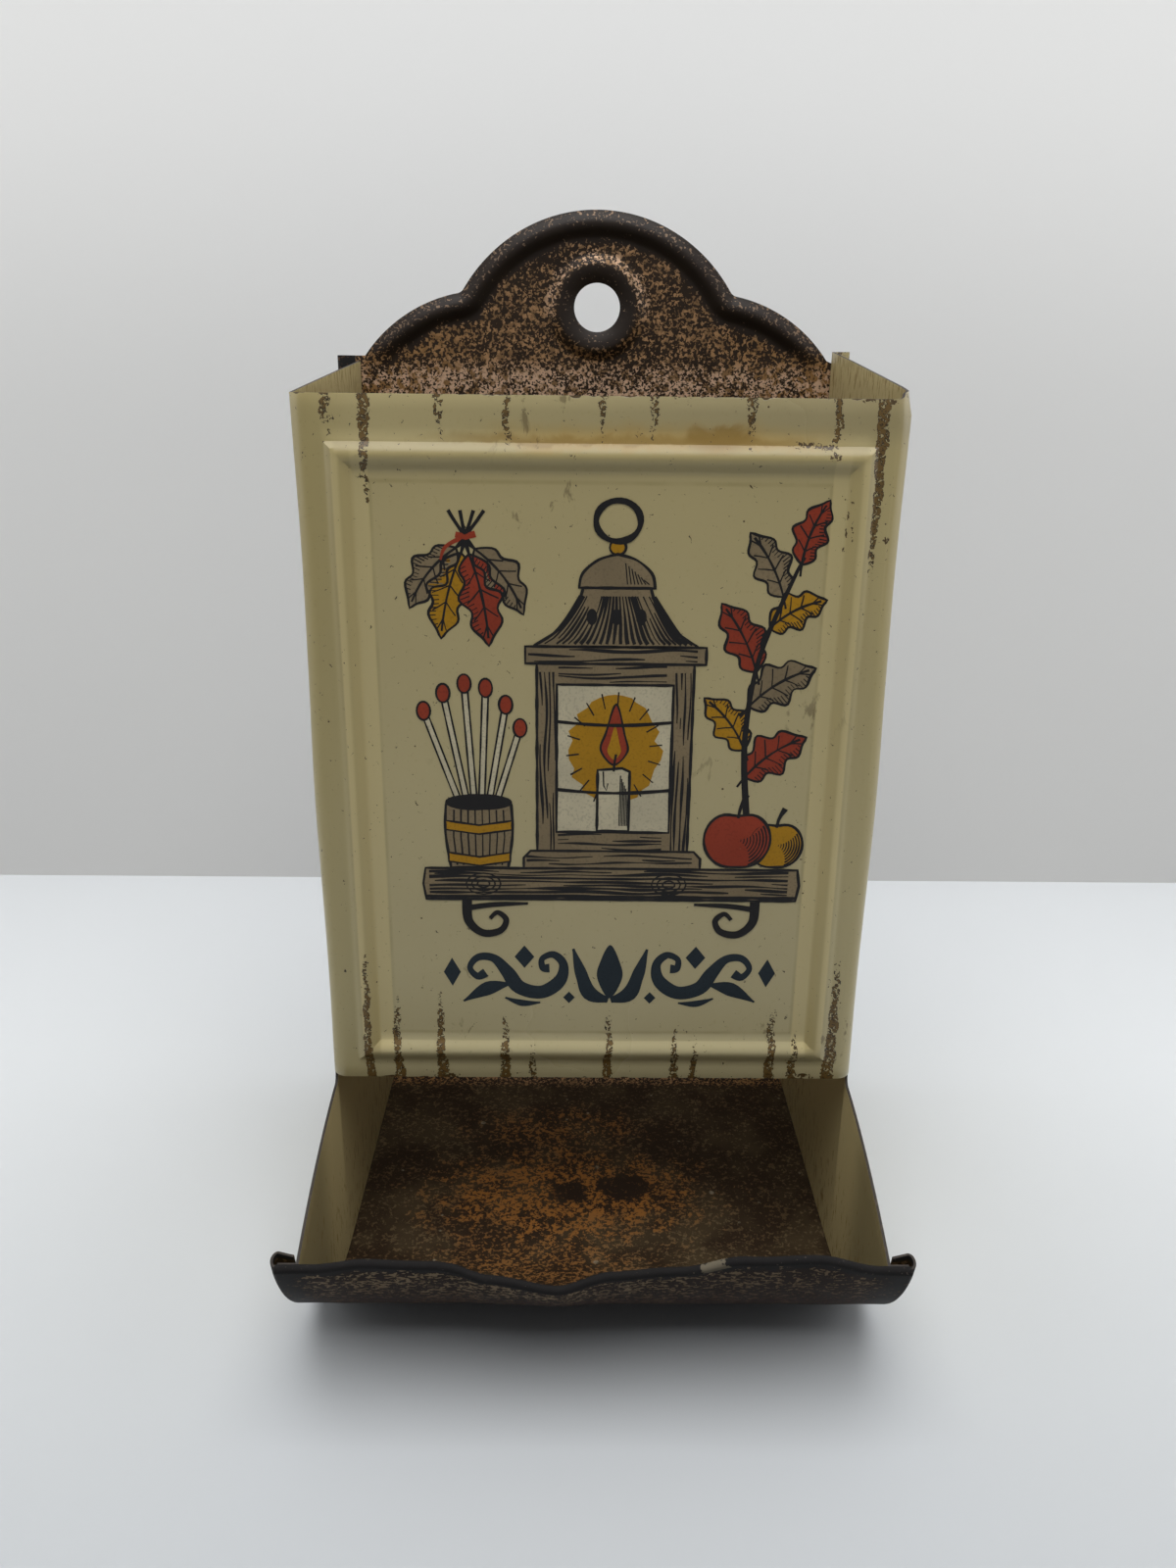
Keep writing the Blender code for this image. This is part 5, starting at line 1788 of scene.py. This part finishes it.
class SCENE_OT_match_holder_stage(bpy.types.Operator):
    """Sets out the floor, the backdrop, the lamps and the camera"""

    bl_idname = "scene.match_holder_stage"
    bl_label = "Stage"

    def execute(self, context):
        stage = context.scene.match_holder_stage
        flat_piece("floor", FLOOR_HALF, Matrix.Translation((0, 0, -FLOOR_DROP)), floor_material(stage))
        upright = Matrix.Rotation(math.pi / 2, 4, "X")
        placed = Matrix.Translation((0, stage.wall_place, WALL_MIDDLE)) @ upright
        flat_piece("backdrop", WALL_HALF, placed, backdrop_material(stage))
        lamp("softbox", *SOFTBOX, stage.softbox_power)
        lamp("front_light", *FRONT_LIGHT, stage.front_power)
        lamp("right_light", *SIDE_LIGHT, stage.right_power)
        lamp("left_light", *SIDE_LIGHT, stage.left_power, hand=-1)
        surround(context.scene, stage)
        camera_for(context.scene, stage)
        context.scene.view_settings.view_transform = "Standard"
        return {"FINISHED"}


def surround(scene, stage):
    """Dim light from all round, which shows as a pale distance."""
    world = bpy.data.worlds.new("surround")
    world.use_nodes = True
    scene.world = world
    work = Nodes(world.node_tree)
    shown = work.mix(stage.surround, stage.distance, work.seen())
    work.feed(work.tree.nodes["Background"].inputs["Color"], shown)


def camera_for(scene, stage):
    """The camera, where the photograph was taken from."""
    camera = bpy.data.cameras.new("camera")
    camera.lens = stage.lens
    camera.sensor_width = 36.0
    camera.clip_start = 5 * MM
    viewer = bpy.data.objects.new("camera", camera)
    scene.collection.objects.link(viewer)
    place = Matrix.Translation((stage.camera_x, stage.camera_y, stage.camera_z))
    tilt = Matrix.Rotation(math.pi / 2 - stage.camera_pitch, 4, "X")
    turned = Matrix.Rotation(-stage.camera_yaw, 4, "Z") @ tilt @ Matrix.Rotation(stage.camera_roll, 4, "Z")
    viewer.matrix_world = place @ turned
    scene.camera = viewer


def stage_paint(name, tone, bounce=1.0, painted_shade=None):
    """Matt paint that lights the rest with a share of the tone it shows, with painted shade towards the front
    where asked.
    """
    work = Paintwork(name)
    shown = work.mix(tone, shaded(tone, 0.97), work.noise(3.0, 2))
    if painted_shade:
        # Painted shade: darker towards the front
        shown = work.tinted(shown, FLOOR_SHADE_TINT, work.ease(work.y, *painted_shade))
    work.feed(work.shader.inputs["Base Color"], work.mix(shaded(tone, bounce), shown, work.seen()))
    work.feed(work.shader.inputs["Roughness"], 0.9)
    return work


def floor_material(stage):
    """The pale floor, with painted shade that darkens it towards the front."""
    return stage_paint("stage_floor", stage.floor, stage.floor_bounce, FLOOR_PAINTED_SHADE).material


def backdrop_material(stage):
    """The backdrop, with a glow that is only seen and lights nothing. From behind it is clear."""
    work = stage_paint("stage_wall", stage.wall)
    risen = work.ease(work.z, *GLOW_RISES, stage.wall_glow * LOW_GLOW_SHARE, stage.wall_glow)
    work.feed(work.shader.inputs["Emission Color"], stage.wall)
    work.feed(work.shader.inputs["Emission Strength"], work.times(risen, work.seen()))
    behind = work.node("ShaderNodeNewGeometry", {}).outputs["Backfacing"]
    clear = work.node("ShaderNodeBsdfTransparent", {}).outputs[0]
    mixed = work.node("ShaderNodeMixShader", {0: behind, 1: work.shader.outputs[0], 2: clear})
    work.feed(work.tree.nodes["Material Output"].inputs["Surface"], mixed.outputs[0])
    return work.material


def flat_piece(name, half, placed, material):
    """A square of the stage."""
    bm = bmesh.new()
    bmesh.ops.create_grid(bm, x_segments=1, y_segments=1, size=half, matrix=placed)
    mesh = bpy.data.meshes.new(name)
    bm.to_mesh(mesh)
    bm.free()
    mesh.materials.append(material)
    made = bpy.data.objects.new(name, mesh)
    bpy.context.scene.collection.objects.link(made)


def lamp(name, place, towards, width, power, hand=1):
    """A square area lamp that points at a place, on the other hand's side where hand is -1."""
    light = bpy.data.lights.new(name, "AREA")
    light.size = width
    light.energy = power
    made = bpy.data.objects.new(name, light)
    bpy.context.scene.collection.objects.link(made)
    made.location = (hand * place[0], *place[1:])
    made.rotation_euler = (Vector(towards) - made.location).to_track_quat("-Z", "Y").to_euler()


OPERATORS = (
    OBJECT_OT_match_holder_body,
    OBJECT_OT_match_holder_print,
    OBJECT_OT_match_holder_back,
    SCENE_OT_match_holder_stage,
)


class VIEW3D_PT_match_holder(bpy.types.Panel):
    """Lists the holder's steps, sizes and finishes"""

    bl_idname = "VIEW3D_PT_match_holder"
    bl_label = "Match holder"
    bl_space_type = "VIEW_3D"
    bl_region_type = "UI"
    bl_category = "Match holder"

    def draw(self, context):
        scene = context.scene
        for operator in OPERATORS:
            self.layout.operator(operator.bl_idname)
        for group in (scene.match_holder_sizes, scene.match_holder_finish, scene.match_holder_stage):
            column = self.layout.column()
            for name in group.bl_rna.properties.keys():
                if name not in ("name", "rna_type"):
                    column.prop(group, name)


CLASSES = (HolderSizes, HolderFinish, HolderStage, *OPERATORS, VIEW3D_PT_match_holder)


def register():
    for cls in CLASSES:
        bpy.utils.register_class(cls)
    bpy.types.Scene.match_holder_sizes = PointerProperty(type=HolderSizes)
    bpy.types.Scene.match_holder_finish = PointerProperty(type=HolderFinish)
    bpy.types.Scene.match_holder_stage = PointerProperty(type=HolderStage)


def unregister():
    del bpy.types.Scene.match_holder_stage
    del bpy.types.Scene.match_holder_finish
    del bpy.types.Scene.match_holder_sizes
    for cls in reversed(CLASSES):
        bpy.utils.unregister_class(cls)


def main():
    register()
    bpy.ops.object.match_holder_body()
    bpy.ops.object.match_holder_print()
    bpy.ops.object.match_holder_back()
    bpy.ops.scene.match_holder_stage()


if __name__ == "__main__":
    main()
